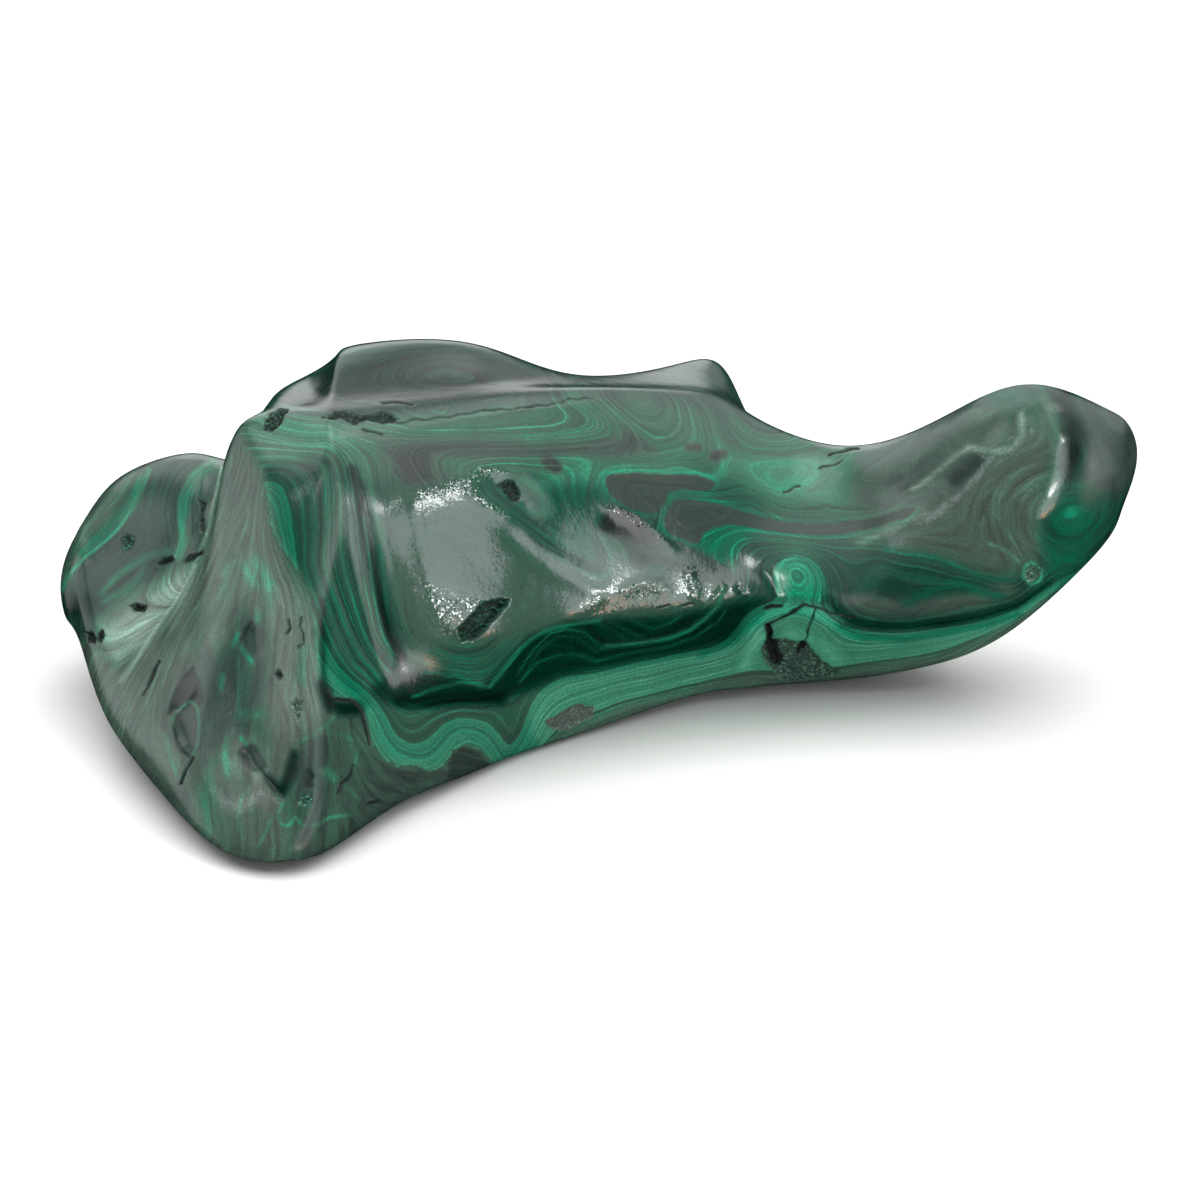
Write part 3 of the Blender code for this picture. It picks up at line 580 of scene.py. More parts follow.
# The stone where nothing else is drawn on it.
PLAIN_TONE = 0.34
PLAIN_GREY = 0.30
PLAIN_LINES = 0.8
# No dark patch comes nearer than this, in mm, to a point on the hidden side.
PATCH_FREE = 5.0


def pixels(text):
    """The pixel pairs written in a line of text."""
    return [tuple(float(number) for number in pair.split(",")) for pair in text.split()]


def pixels_along(text):
    """The pixels of an open line, filled in so that neighbours are close together."""
    corners = pixels(text)
    filled = []
    for start, end in zip(corners[:-1], corners[1:]):
        count = max(1, int(math.dist(start, end) / LINE_SPACING))
        for i in range(count):
            share = i / count
            filled.append((start[0] + (end[0] - start[0]) * share, start[1] + (end[1] - start[1]) * share))
    filled.append(corners[-1])
    return filled


def point_on_stone(stone, pixel):
    """The point of the stone, in mm, that the camera sees at a pixel, or None beside the stone."""
    across = (pixel[0] - FRAME_SIDE / 2) / FOCAL_PIXELS
    upward = (FRAME_SIDE / 2 - pixel[1]) / FOCAL_PIXELS
    hit, place, _, _ = stone.ray_cast(CAMERA_PLACE, (RIGHT * across + UP * upward - BACK).normalized())
    return tuple(place / MM) if hit else None


def pixels_of(points):
    """The pixels of points that are in mm."""
    offset = points * MM - np.array(CAMERA_AIM)
    depth = CAMERA_DISTANCE - offset @ np.array(BACK)
    across = FRAME_SIDE / 2 + FOCAL_PIXELS * (offset @ np.array(RIGHT)) / depth
    down = FRAME_SIDE / 2 - FOCAL_PIXELS * (offset @ np.array(UP)) / depth
    return np.stack([across, down], 1)


def layer_field(stone, layers, points, normals):
    """The layer level at each point, smooth through every drawn line, and how thick one level is in mm."""
    knots = []
    levels = []
    for level, text in layers.values():
        for pixel in pixels_along(text):
            place = point_on_stone(stone, pixel)
            if place:
                knots.append(place)
                levels.append(level)
    # Each knot adds the cube of the distance from it, over a plane that takes up the last four places.
    knots = np.array(knots)
    count = len(knots)
    distance = np.linalg.norm(knots[:, None] - knots[None], axis=2)
    matrix = np.zeros((count + 4, count + 4))
    matrix[:count, :count] = (distance / SPREAD) ** 3
    matrix[:count, :count] += np.eye(count) * SLACK
    matrix[:count, count:] = np.c_[np.ones(count), knots / SPREAD]
    matrix[count:, :count] = matrix[:count, count:].T
    weights = np.linalg.solve(matrix, np.r_[levels, np.zeros(4)])
    field = np.empty(len(points))
    slope = np.empty((len(points), 3))
    for first in range(0, len(points), ROWS_AT_ONCE):
        rows = slice(first, first + ROWS_AT_ONCE)
        part = points[rows]
        squared = (part**2).sum(1)[:, None] + (knots**2).sum(1)[None] - 2 * part @ knots.T
        reach = np.sqrt(np.maximum(squared, 0.0)) / SPREAD
        field[rows] = reach**3 @ weights[:count] + weights[count] + part / SPREAD @ weights[count + 1:]
        pull = reach @ np.c_[weights[:count], weights[:count, None] * knots]
        slope[rows] = 3 / SPREAD**2 * (part * pull[:, :1] - pull[:, 1:]) + weights[count + 1:] / SPREAD
    slope -= normals * (slope * normals).sum(1)[:, None]
    return field, 1 / np.clip(np.linalg.norm(slope, axis=1), *SLOPE_RANGE)


def distance_from_lines(places, starts, ends):
    """Distance in mm from the nearest of some straight lines between pixels."""
    nearest = np.full(len(places), np.inf)
    for start, end in zip(starts, ends):
        along = end - start
        if along.any():
            share = np.clip((places - start) @ along / (along @ along), 0, 1)
            nearest = np.minimum(nearest, np.linalg.norm(places - start - share[:, None] * along, axis=1))
    return nearest * CAMERA_DISTANCE / FOCAL_PIXELS / MM


def outline_distance(places, text):
    """Signed distance in mm from an outline drawn in pixels, less than nought inside it."""
    starts = np.array(pixels(text))
    ends = np.roll(starts, -1, 0)
    inside = np.zeros(len(places), bool)
    for start, end in zip(starts, ends):
        along = end - start
        crosses = (start[1] > places[:, 1]) != (end[1] > places[:, 1])
        if crosses.any():
            meet = start[0] + (places[:, 1] - start[1]) * along[0] / along[1]
            inside ^= crosses & (places[:, 0] < meet)
    distance = distance_from_lines(places, starts, ends)
    return np.where(inside, -distance, distance)


def streak_distance(places, text, half_width):
    """Distance in mm from a streak of a half width, less than nought on it."""
    corners = np.array(pixels(text))
    return distance_from_lines(places, corners[:-1], corners[1:]) - half_width


def soft_step(distance, softness):
    """From 1 well inside an outline to 0 well outside it."""
    share = np.clip(0.5 - distance / (2 * softness), 0, 1)
    return share * share * (3 - 2 * share)


def facing(points, normals):
    """From 1 where the camera sees the stone to 0 where it can't."""
    towards = np.array(CAMERA_PLACE) / MM - points
    cosine = (towards * normals).sum(1) / np.linalg.norm(towards, axis=1)
    return np.clip(cosine / FACING_EDGE + 0.5, 0, 1)


def uneven(points, size):
    """A smooth value from about -1 to 1 at each point: waves in scattered directions, of about a size in mm."""
    value = np.zeros(len(points))
    for i in range(WAVES):
        direction = np.array([math.sin(2.4 * i + 1), math.cos(1.7 * i), math.sin(3.1 * i + 2)])
        value += np.sin(points @ direction * (1 + 0.23 * i) * math.pi / size + 4.7 * i)
    return value / (WAVES / 2)


def mesh_points(mesh):
    """The mesh's points in mm and their normals, as arrays."""
    count = len(mesh.vertices)
    points = np.empty(count * 3, np.float32)
    normals = np.empty(count * 3, np.float32)
    mesh.vertices.foreach_get("co", points)
    mesh.vertices.foreach_get("normal", normals)
    return points.reshape(-1, 3).astype(float) / MM, normals.reshape(-1, 3).astype(float)


def move_points(stone, points):
    """Gives the stone's mesh new places, in mm, for its points."""
    stone.data.vertices.foreach_set("co", np.ascontiguousarray(points * MM, np.float32).ravel())
    stone.data.update()


def store(mesh, name, values):
    """Keeps one number for each point of the mesh, for the material to read."""
    attribute = mesh.attributes.new(name, "FLOAT", "POINT")
    attribute.data.foreach_set("value", np.ascontiguousarray(values, np.float32))


def edit_points(stone, chosen):
    """Starts to edit the mesh with only the chosen points selected."""
    bpy.ops.object.mode_set(mode="EDIT")
    bpy.ops.mesh.select_mode(type="VERT")
    bpy.ops.mesh.select_all(action="DESELECT")
    bpy.ops.object.mode_set(mode="OBJECT")
    stone.data.vertices.foreach_set("select", chosen)
    bpy.ops.object.mode_set(mode="EDIT")


def polished_stone(cad):
    """The polished stone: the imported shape, its facets joined into quads and smoothed."""
    stone = bpy.data.objects.new("polished_malachite", cad.data.copy())
    bpy.context.scene.collection.objects.link(stone)
    bpy.ops.object.select_all(action="DESELECT")
    stone.select_set(True)
    bpy.context.view_layer.objects.active = stone
    if stone.data.has_custom_normals:
        bpy.ops.mesh.customdata_custom_splitnormals_clear()
    bpy.ops.object.mode_set(mode="EDIT")
    bpy.ops.mesh.select_all(action="SELECT")
    bpy.ops.mesh.remove_doubles(threshold=WELD)
    bpy.ops.mesh.tris_convert_to_quads(face_threshold=FLATTEST_JOIN, shape_threshold=FLATTEST_JOIN)
    bpy.ops.object.mode_set(mode="OBJECT")
    smooth = stone.modifiers.new("smooth", "SUBSURF")
    smooth.levels = SMOOTHING
    smooth.render_levels = SMOOTHING
    bpy.ops.object.modifier_apply(modifier=smooth.name)
    # The side that the drawn lines don't reach needs fewer points.
    edit_points(stone, facing(*mesh_points(stone.data)) == 0)
    bpy.ops.mesh.decimate(ratio=HIDDEN_SHARE)
    bpy.ops.object.mode_set(mode="OBJECT")
    bpy.ops.object.shade_smooth()
    return stone


def refine(stone, chosen):
    """Halves the mesh spacing where the points are chosen."""
    edit_points(stone, chosen)
    bpy.ops.mesh.select_mode(type="EDGE", use_extend=False, use_expand=True)
    bpy.ops.mesh.subdivide(number_cuts=1)
    bpy.ops.object.mode_set(mode="OBJECT")


def damage_distances(points, normals):
    """For each hollow and crack: depth, grain, tone, greyness and the distance of every point from its edge."""
    hidden = np.where(facing(points, normals) > 0, 0.0, FAR_AWAY)
    wander = [uneven(points, EDGE_WANDER_SIZE), uneven(points[:, ::-1], EDGE_WANDER_SIZE)]
    places = pixels_of(points) + EDGE_WANDER * np.stack(wander, 1)
    ragged = uneven(points, RAGGED_SIZE)
    for depth, grain, tone, grey, text in HOLLOWS.values():
        yield depth, grain, tone, grey, outline_distance(places, text) + RAGGED_HOLLOW * ragged + hidden
    for depth, half_width, text in CRACKS.values():
        distance = streak_distance(places, text, half_width) + RAGGED_CRACK * ragged + hidden
        yield depth, 0.0, CRACK_TONE, CRACK_GREY, distance


def carve(stone):
    """Presses the gentle relief in, then breaks out the hollows and cracks in a finer mesh."""
    points, normals = mesh_points(stone.data)
    places = pixels_of(points)
    seen = facing(points, normals)
    rise = np.zeros(len(points))
    for height, half_width, softness, text in RELIEF.values():
        rise += height * soft_step(streak_distance(places, text, half_width), softness) * seen
    move_points(stone, points + normals * rise[:, None])

    near = np.zeros(len(points), bool)
    for _, _, half_width, softness, text in STREAKS.values():
        if softness < FINE_EDGE:
            near |= np.abs(streak_distance(places, text, half_width)) < FINE_EDGE
    for _, _, _, softness, text in ALL_ZONES:
        if softness < FINE_EDGE:
            near |= np.abs(outline_distance(places, text)) < FINE_EDGE
    refine(stone, near & (seen > 0))
    for reach in DAMAGE_REACHES:
        points, normals = mesh_points(stone.data)
        near = np.zeros(len(points), bool)
        for *_, distance in damage_distances(points, normals):
            near |= np.abs(distance) < reach
        refine(stone, near)

    points, normals = mesh_points(stone.data)
    fall = np.zeros(len(points))
    broken = {}
    for name in ("broken", "broken_grain", "broken_tone", "broken_grey"):
        broken[name] = np.zeros(len(points))
    crystals = uneven(points, CRYSTAL_SIZE)
    for depth, grain, tone, grey, distance in damage_distances(points, normals):
        broken["broken"] = np.maximum(broken["broken"], soft_step(distance, BROKEN_EDGE))
        for name, value in (("broken_grain", grain), ("broken_tone", tone), ("broken_grey", grey)):
            broken[name][distance < BROKEN_REACH] = value
        wall = soft_step(distance + WALL_MIDDLE, WALL_SOFTNESS)
        fall = np.maximum(fall, depth * wall * (1 + grain * crystals))
    move_points(stone, points - normals * fall[:, None])
    for name, values in broken.items():
        store(stone.data, name, values)


def mark_stone(stone):
    """Works out the growth layers, patches, zones and finish at every point of the stone."""
    points, normals = mesh_points(stone.data)
    places = pixels_of(points)
    seen = facing(points, normals)
    for name, layers in (("body", BODY_LAYERS), ("lobe", LOBE_LAYERS), ("face", FACE_LAYERS)):
        field, thickness = layer_field(stone, layers, points, normals)
        store(stone.data, name + "_layers", field)
        store(stone.data, name + "_thickness", thickness)
    store(stone.data, "lobe_edge", outline_distance(places, LOBE_OUTLINE))
    store(stone.data, "face_edge", outline_distance(places, FACE_OUTLINE))
    patches = np.min([outline_distance(places, text) for text in DARK_PATCHES], axis=0)
    store(stone.data, "patch_edge", np.where(seen > 0, patches, np.maximum(patches, PATCH_FREE)))

    tone = np.full(len(points), PLAIN_TONE)
    grey = np.full(len(points), PLAIN_GREY)
    lines = np.full(len(points), PLAIN_LINES)
    for zone_tone, zone_grey, zone_lines, softness, text in ALL_ZONES:
        share = soft_step(outline_distance(places, text), softness) * seen
        tone += (zone_tone - tone) * share
        grey += (zone_grey - grey) * share
        lines += (zone_lines - lines) * share
    for streak_tone, streak_grey, half_width, softness, text in STREAKS.values():
        share = soft_step(streak_distance(places, text, half_width), softness) * seen
        tone += (streak_tone - tone) * share
        grey += (streak_grey - grey) * share
    grain = np.zeros(len(points))
    for amount, softness, text in GRAINY_PLACES.values():
        share = soft_step(outline_distance(places, text), softness)
        grain = np.maximum(grain, amount * share * seen)
    dull = np.zeros(len(points))
    for amount, half_width, softness, text in DULL_PLACES.values():
        share = soft_step(streak_distance(places, text, half_width), softness)
        dull = np.maximum(dull, amount * share * seen)
    for name, values in (("tone", tone), ("grey", grey), ("lines", lines), ("grain", grain), ("dull", dull)):
        store(stone.data, name, values)


def linear(hex_colour):
    """A material colour from its sRGB hex value."""
    parts = [int(hex_colour[i:i + 2], 16) / 255 for i in (1, 3, 5)]
    return [part / 12.92 if part <= 0.04045 else ((part + 0.055) / 1.055) ** 2.4 for part in parts] + [1.0]


def new_material(name):
    """An empty node material, with its one shader and its output joined."""
    material = bpy.data.materials.new(name)
    material.use_nodes = True
    tree = material.node_tree
    tree.nodes.clear()
    shader = tree.nodes.new("ShaderNodeBsdfPrincipled")
    output = tree.nodes.new("ShaderNodeOutputMaterial")
    tree.links.new(shader.outputs["BSDF"], output.inputs["Surface"])
    return material, shader


def add(tree, kind, settings, inputs, output=0):
    """Adds a node and gives one of its outputs. Each input is given a value, or the output to link to it."""
    node = tree.nodes.new(kind)
    for name, value in settings.items():
        setattr(node, name, value)
    for name, value in inputs.items():
        if isinstance(value, bpy.types.NodeSocket):
            tree.links.new(value, node.inputs[name])
        else:
            node.inputs[name].default_value = value
    return node.outputs[output]


def set_stops(ramp_node, stops):
    """Gives a colour ramp its stops, each a position and a colour or a grey value."""
    elements = ramp_node.color_ramp.elements
    while len(elements) > 1:
        elements.remove(elements[-1])
    for i, (position, colour) in enumerate(stops):
        element = elements[0] if i == 0 else elements.new(position)
        element.position = position
        element.color = linear(colour) if isinstance(colour, str) else [colour] * 3 + [1.0]


MATH = "ShaderNodeMath"
VECTOR_MATH = "ShaderNodeVectorMath"
NOISE = "ShaderNodeTexNoise"
RANGE = "ShaderNodeMapRange"
MIX = "ShaderNodeMix"
RAMP = "ShaderNodeValToRGB"
SUM = {"operation": "ADD"}
PRODUCT = {"operation": "MULTIPLY"}
SCALED_SUM = {"operation": "MULTIPLY_ADD"}
SMOOTH = {"interpolation_type": "SMOOTHSTEP"}
NUMBERS = {"data_type": "FLOAT"}
COLOURS = {"data_type": "RGBA"}
# The places of a mix node's two colours among its inputs, and of its colour among its outputs.
FIRST_COLOUR = 6
SECOND_COLOUR = 7
MIXED_COLOUR = 2

# Colours of the copper-green stone and of its grey parts, from the darkest tone to the lightest.
GREEN_TONES = (
    (0.00, "#001009"), (0.12, "#00261a"), (0.28, "#043f2e"), (0.45, "#0b6048"),
    (0.60, "#138766"), (0.78, "#45ab8a"), (1.00, "#96d8bc"))
GREY_TONES = (
    (0.00, "#0c100d"), (0.25, "#2f3834"), (0.45, "#4e5952"), (0.60, "#67726a"),
    (0.80, "#8d978e"), (1.00, "#b3bbb2"))
LOWEST_LEVEL = -2.0
HIGHEST_LEVEL = 16.0
# The light band of the lower edge: layer levels, and how fully it shows at each.
LIGHT_BAND = ((-0.1, 0.0), (0.1, 0.8), (3.8, 0.85), (3.98, 1.0), (4.05, 0.0))

# Sizes of the unevenness in the stone, in mm.
WANDER_SIZE = 7.0
SHAKE_SIZE = 0.9
FADE_SIZE = 6.0
SPECKLE_SIZE = 0.28
CRUMB_SIZE = 0.3
FINE_GRAIN_SIZE = 0.22
FACET_SIZE = 0.2
# Silky fibres: how many cross a level, and how tall and how long they run, in mm.
FIBRES_IN_LEVEL = 2.2
FIBRE_HEIGHT = 7.0
FIBRE_LENGTH = 16.0
# Growths meet within this many mm of a seam that is ragged by up to half this many.
SEAM_EDGE = 0.08
SEAM_RAGGED = 0.8
# Layers wander by up to half this share of a level. Lines stand at every step of a level.
LEVEL_WANDER = 0.5
LINE_STEP = 0.5
# A line in mm from its middle: where it starts to fade and where it ends.
LINE_CORE = 0.03
LINE_END = 0.17
# Layers finer than the lines: bands in a level, how much they change the tone, their least share of that,
# and the thickness of a level, in mm, at which they show least and most.
STRATA_IN_LEVEL = 2.4
STRATA_DEPTH = 0.6
STRATA_LEAST = 0.15
CROWDED_LEVEL = 0.2
ROOMY_LEVEL = 1.2
# How much the lines, the silky fibres and the speckle lighten the tone, how much the lines and fibres take from
# the greyness, and how much the lines calm the silk.
LINE_LIGHTENS = 0.30
SILK_LIGHTENS = 0.75
SPECKLE_LIGHTENS = 0.40
LINE_GREENS = 0.5
FIBRES_GREEN = 0.4
LINES_CALM_SILK = 0.7
# The light band: how much lighter it is, how much its strata and lines lighten it, its share of the greyness,
# and how much its strata take from that.
BAND_LIGHTER = 0.20
BAND_STRATA_LIGHTEN = 1.1
BAND_LINE_LIGHTENS = 0.2
BAND_GREY = 0.5
BAND_STRATA_GREEN = 0.8
# A dark patch: how ragged its edge is, where it starts and is full, in mm from its edge, its tone and greyness,
# and how much strata show in it.
PATCH_RAGGED = 0.4
PATCH_START = 0.1
PATCH_FULL = -0.15
PATCH_TONE = 0.28
PATCH_GREY = 0.9
PATCH_STRATA = 0.3
# Its rim: how far outside the patch its middle is, where it starts to fade from there and where it ends, in
# mm, how much it lightens the tone and how much it takes from the greyness.
RIM_MIDDLE = 0.3
RIM_CORE = 0.05
RIM_END = 0.35
RIM_LIGHTENS = 0.07
RIM_GREENS = 0.15
# Roughness of the buffed stone, how unevenly it is buffed, how much rougher a broken place is, and how much
# smoother a crystal facet.
POLISH = 0.115
POLISH_UNEVEN = 0.08
BROKEN_ROUGHNESS = 0.6
GRAIN_SHINE = 0.03
# How far the facets tilt, and how strongly malachite refracts.
FACET_TILT = 0.24
REFRACTION = 1.66
# The unevenness left by the buff: its height in mm, and the parts that fine grain, crystal grain, strata and
# the wander of the layers have in it.
BUMP_HEIGHT = 0.02
FINE_PART = 0.15
CRYSTAL_PART = 0.3
STRATA_PART = 1.5
WANDER_PART = 6.0


def level_place(level):
    """Where a layer level falls on a ramp from 0 to 1."""
    return (level - LOWEST_LEVEL) / (HIGHEST_LEVEL - LOWEST_LEVEL)


def surface_growth(tree, read, ragged):
    """The level and thickness of the layers of the growth at the surface, and how far that isn't the body."""
    level = read["body_layers"]
    thickness = read["body_thickness"]
    shares = []
    for growth in ("face", "lobe"):
        edge = add(tree, MATH, SUM, {0: read[growth + "_edge"], 1: ragged})
        share = add(tree, RANGE, {}, {"Value": edge, "From Min": SEAM_EDGE, "From Max": -SEAM_EDGE})
        level = add(tree, MIX, NUMBERS, {"Factor": share, "A": level, "B": read[growth + "_layers"]})
        thickness = add(tree, MIX, NUMBERS, {
            "Factor": share, "A": thickness, "B": read[growth + "_thickness"]})
        shares.append(share)
    return level, thickness, add(tree, MATH, {"operation": "MAXIMUM"}, {0: shares[0], 1: shares[1]})


def light_lines(tree, place, level, thickness, shown):
    """A thin light line at every step of a level, each as strong as chance has it and fading along itself."""
    distance = add(tree, MATH, {"operation": "PINGPONG"}, {0: level, 1: LINE_STEP / 2})
    distance = add(tree, MATH, PRODUCT, {0: distance, 1: thickness})
    line = add(tree, RANGE, SMOOTH, {
        "Value": distance, "From Min": LINE_CORE, "From Max": LINE_END, "To Min": 1.0, "To Max": 0.0})
    nearest = add(tree, MATH, SUM, {0: level, 1: LINE_STEP / 2})
    nearest = add(tree, MATH, {"operation": "SNAP"}, {0: nearest, 1: LINE_STEP})
    chance = add(tree, "ShaderNodeTexWhiteNoise", {"noise_dimensions": "1D"}, {"W": nearest})
    fade = add(tree, NOISE, {}, {"Vector": place, "Scale": 1 / (FADE_SIZE * MM), "Detail": 3.0})
    fade = add(tree, RANGE, {}, {"Value": fade, "From Min": 0.35, "From Max": 0.65})
    strength = add(tree, MATH, PRODUCT, {0: chance, 1: fade})
    strength = add(tree, MATH, PRODUCT, {0: strength, 1: shown})
    return add(tree, MATH, PRODUCT, {0: line, 1: strength})


def fine_strata(tree, level, thickness):
    """Finer layers in between, from thread-thin to a couple of millimetres, and faint where levels crowd."""
    strata = add(tree, NOISE, {"noise_dimensions": "1D"}, {
        "W": level, "Scale": STRATA_IN_LEVEL, "Detail": 5.0, "Roughness": 0.75})
    strata = add(tree, MATH, SCALED_SUM, {0: strata, 1: STRATA_DEPTH, 2: -STRATA_DEPTH / 2})
    clear = add(tree, RANGE, SMOOTH, {
        "Value": thickness, "From Min": CROWDED_LEVEL, "From Max": ROOMY_LEVEL, "To Min": STRATA_LEAST,
        "To Max": 1.0})
    return add(tree, MATH, PRODUCT, {0: strata, 1: clear})


def silky_fibres(tree, place, level, grain):
    """Silky fibres that run along the layers, calmer where crystal grain breaks the polish."""
    parts = add(tree, "ShaderNodeSeparateXYZ", {}, {0: place}).node.outputs
    across = add(tree, MATH, PRODUCT, {0: level, 1: FIBRES_IN_LEVEL})
    upward = add(tree, MATH, PRODUCT, {0: parts["Z"], 1: 1 / (FIBRE_HEIGHT * MM)})
    sideways = add(tree, MATH, PRODUCT, {0: parts["X"], 1: 1 / (FIBRE_LENGTH * MM)})
    fibre_place = add(tree, "ShaderNodeCombineXYZ", {}, {0: across, 1: upward, 2: sideways})
    fibres = add(tree, NOISE, {}, {
        "Vector": fibre_place, "Scale": 1.0, "Detail": 5.0, "Roughness": 0.65, "Distortion": 0.6})
    fibres = add(tree, RANGE, {}, {
        "Value": fibres, "From Min": 0.3, "From Max": 0.7, "To Min": -0.5, "To Max": 0.5})
    calm = add(tree, RANGE, {}, {
        "Value": grain, "From Min": 0.1, "From Max": 0.35, "To Min": 1.0, "To Max": 0.25})
    return add(tree, MATH, PRODUCT, {0: fibres, 1: calm})


def light_band(tree, level, outside_body):
    """How far a point is in the light band of the lower edge, which is its own run of the body's layers."""
    band_place = add(tree, RANGE, {}, {"Value": level, "From Min": LOWEST_LEVEL, "From Max": HIGHEST_LEVEL})
    band = add(tree, RAMP, {}, {"Fac": band_place})
    stops = [(level_place(at), amount) for at, amount in LIGHT_BAND]
    set_stops(band.node, [(0.0, 0.0), *stops, (1.0, 0.0)])
    return add(tree, MATH, {**SCALED_SUM, "use_clamp": True}, {0: outside_body, 1: -2.0, 2: band})


def tilted_normal(tree, place, bump, grain):
    """The surface direction, tilted at random by glittering crystal facets where they break the polish."""
    facets = add(tree, "ShaderNodeTexVoronoi", {}, {"Vector": place, "Scale": 1 / (FACET_SIZE * MM)}, "Color")
    facets = add(tree, VECTOR_MATH, {"operation": "SUBTRACT"}, {0: facets, 1: (0.5, 0.5, 0.5)})
    tilt = add(tree, MATH, PRODUCT, {0: grain, 1: grain})
    tilt = add(tree, MATH, PRODUCT, {0: tilt, 1: FACET_TILT})
    facets = add(tree, VECTOR_MATH, {"operation": "SCALE"}, {0: facets, "Scale": tilt})
    normal = add(tree, VECTOR_MATH, SUM, {0: bump, 1: facets})
    return add(tree, VECTOR_MATH, {"operation": "NORMALIZE"}, {0: normal})


def malachite_material():
    """Polished malachite: banded copper carbonate, ground and buffed to a wet shine over silky fibres."""
    material, shader = new_material("polished_banded_malachite")
    tree = material.node_tree
    place = add(tree, "ShaderNodeTexCoord", {}, {}, "Object")
    read = {}
    for name in ("body_layers", "body_thickness", "lobe_layers", "lobe_thickness", "face_layers",
                 "face_thickness", "lobe_edge", "face_edge", "patch_edge", "tone", "grey", "lines",
                 "grain", "dull", "broken", "broken_grain", "broken_tone", "broken_grey"):
        read[name] = add(tree, "ShaderNodeAttribute", {"attribute_name": name}, {}, "Fac")
    wander = add(tree, NOISE, {}, {
        "Vector": place, "Scale": 1 / (WANDER_SIZE * MM), "Detail": 5.0, "Roughness": 0.6})
    shake = add(tree, NOISE, {}, {"Vector": place, "Scale": 1 / (SHAKE_SIZE * MM), "Detail": 3.0})
    ragged = add(tree, MATH, SCALED_SUM, {0: shake, 1: SEAM_RAGGED, 2: -SEAM_RAGGED / 2})

    # The layers wander a little, so no line is drawn with a compass.
    level, thickness, outside_body = surface_growth(tree, read, ragged)
    level = add(tree, MATH, SCALED_SUM, {0: wander, 1: LEVEL_WANDER, 2: level})
    level = add(tree, MATH, SUM, {0: level, 1: -LEVEL_WANDER / 2})
    line = light_lines(tree, place, level, thickness, read["lines"])
    band_strata = fine_strata(tree, level, thickness)
    strata = add(tree, MATH, PRODUCT, {0: band_strata, 1: read["lines"]})
    fibres = silky_fibres(tree, place, level, read["grain"])
    silk = add(tree, MATH, SCALED_SUM, {0: read["lines"], 1: -LINES_CALM_SILK, 2: 1.0})
    silk = add(tree, MATH, PRODUCT, {0: silk, 1: fibres})
    silk = add(tree, MATH, PRODUCT, {0: silk, 1: read["tone"]})

    # Tone and greyness of the banded stone, and inside the light band.
    tone = add(tree, MATH, SUM, {0: read["tone"], 1: strata})
    tone = add(tree, MATH, SCALED_SUM, {0: silk, 1: SILK_LIGHTENS, 2: tone})
    tone = add(tree, MATH, SCALED_SUM, {0: line, 1: LINE_LIGHTENS, 2: tone})
    grey = add(tree, MATH, SCALED_SUM, {0: fibres, 1: -FIBRES_GREEN, 2: read["grey"]})
    grey = add(tree, MATH, SCALED_SUM, {0: line, 1: -LINE_GREENS, 2: grey})
    band = light_band(tree, level, outside_body)
    band_tone = add(tree, MATH, SUM, {0: read["tone"], 1: BAND_LIGHTER})
    band_tone = add(tree, MATH, SCALED_SUM, {0: band_strata, 1: BAND_STRATA_LIGHTEN, 2: band_tone})
    band_tone = add(tree, MATH, SCALED_SUM, {0: line, 1: BAND_LINE_LIGHTENS, 2: band_tone})
    band_grey = add(tree, MATH, PRODUCT, {0: read["grey"], 1: BAND_GREY})
    band_grey = add(tree, MATH, {**SCALED_SUM, "use_clamp": True}, {
        0: band_strata, 1: -BAND_STRATA_GREEN, 2: band_grey})

    # Dark brownish patches, with a pale rim round them.
    patch_edge = add(tree, MATH, PRODUCT, {0: ragged, 1: PATCH_RAGGED})
    patch_edge = add(tree, MATH, SUM, {0: read["patch_edge"], 1: patch_edge})
    patch = add(tree, RANGE, SMOOTH, {"Value": patch_edge, "From Min": PATCH_START, "From Max": PATCH_FULL})
    patch_tone = add(tree, MATH, SCALED_SUM, {0: strata, 1: PATCH_STRATA, 2: PATCH_TONE})
    rim = add(tree, MATH, SUM, {0: patch_edge, 1: -RIM_MIDDLE})
    rim = add(tree, MATH, {"operation": "ABSOLUTE"}, {0: rim})
    rim = add(tree, RANGE, SMOOTH, {
        "Value": rim, "From Min": RIM_CORE, "From Max": RIM_END, "To Min": 1.0, "To Max": 0.0})

    # The bottoms of broken places, with pale crystal crumbs.
    crumbs = add(tree, NOISE, {}, {"Vector": place, "Scale": 1 / (CRUMB_SIZE * MM), "Detail": 2.0})
    crumbs = add(tree, RANGE, SMOOTH, {
        "Value": crumbs, "From Min": 0.45, "From Max": 0.75, "To Min": -0.1, "To Max": 0.9})
    crumbs = add(tree, MATH, PRODUCT, {0: crumbs, 1: read["broken_grain"]})
    broken_tone = add(tree, MATH, SUM, {0: read["broken_tone"], 1: crumbs})

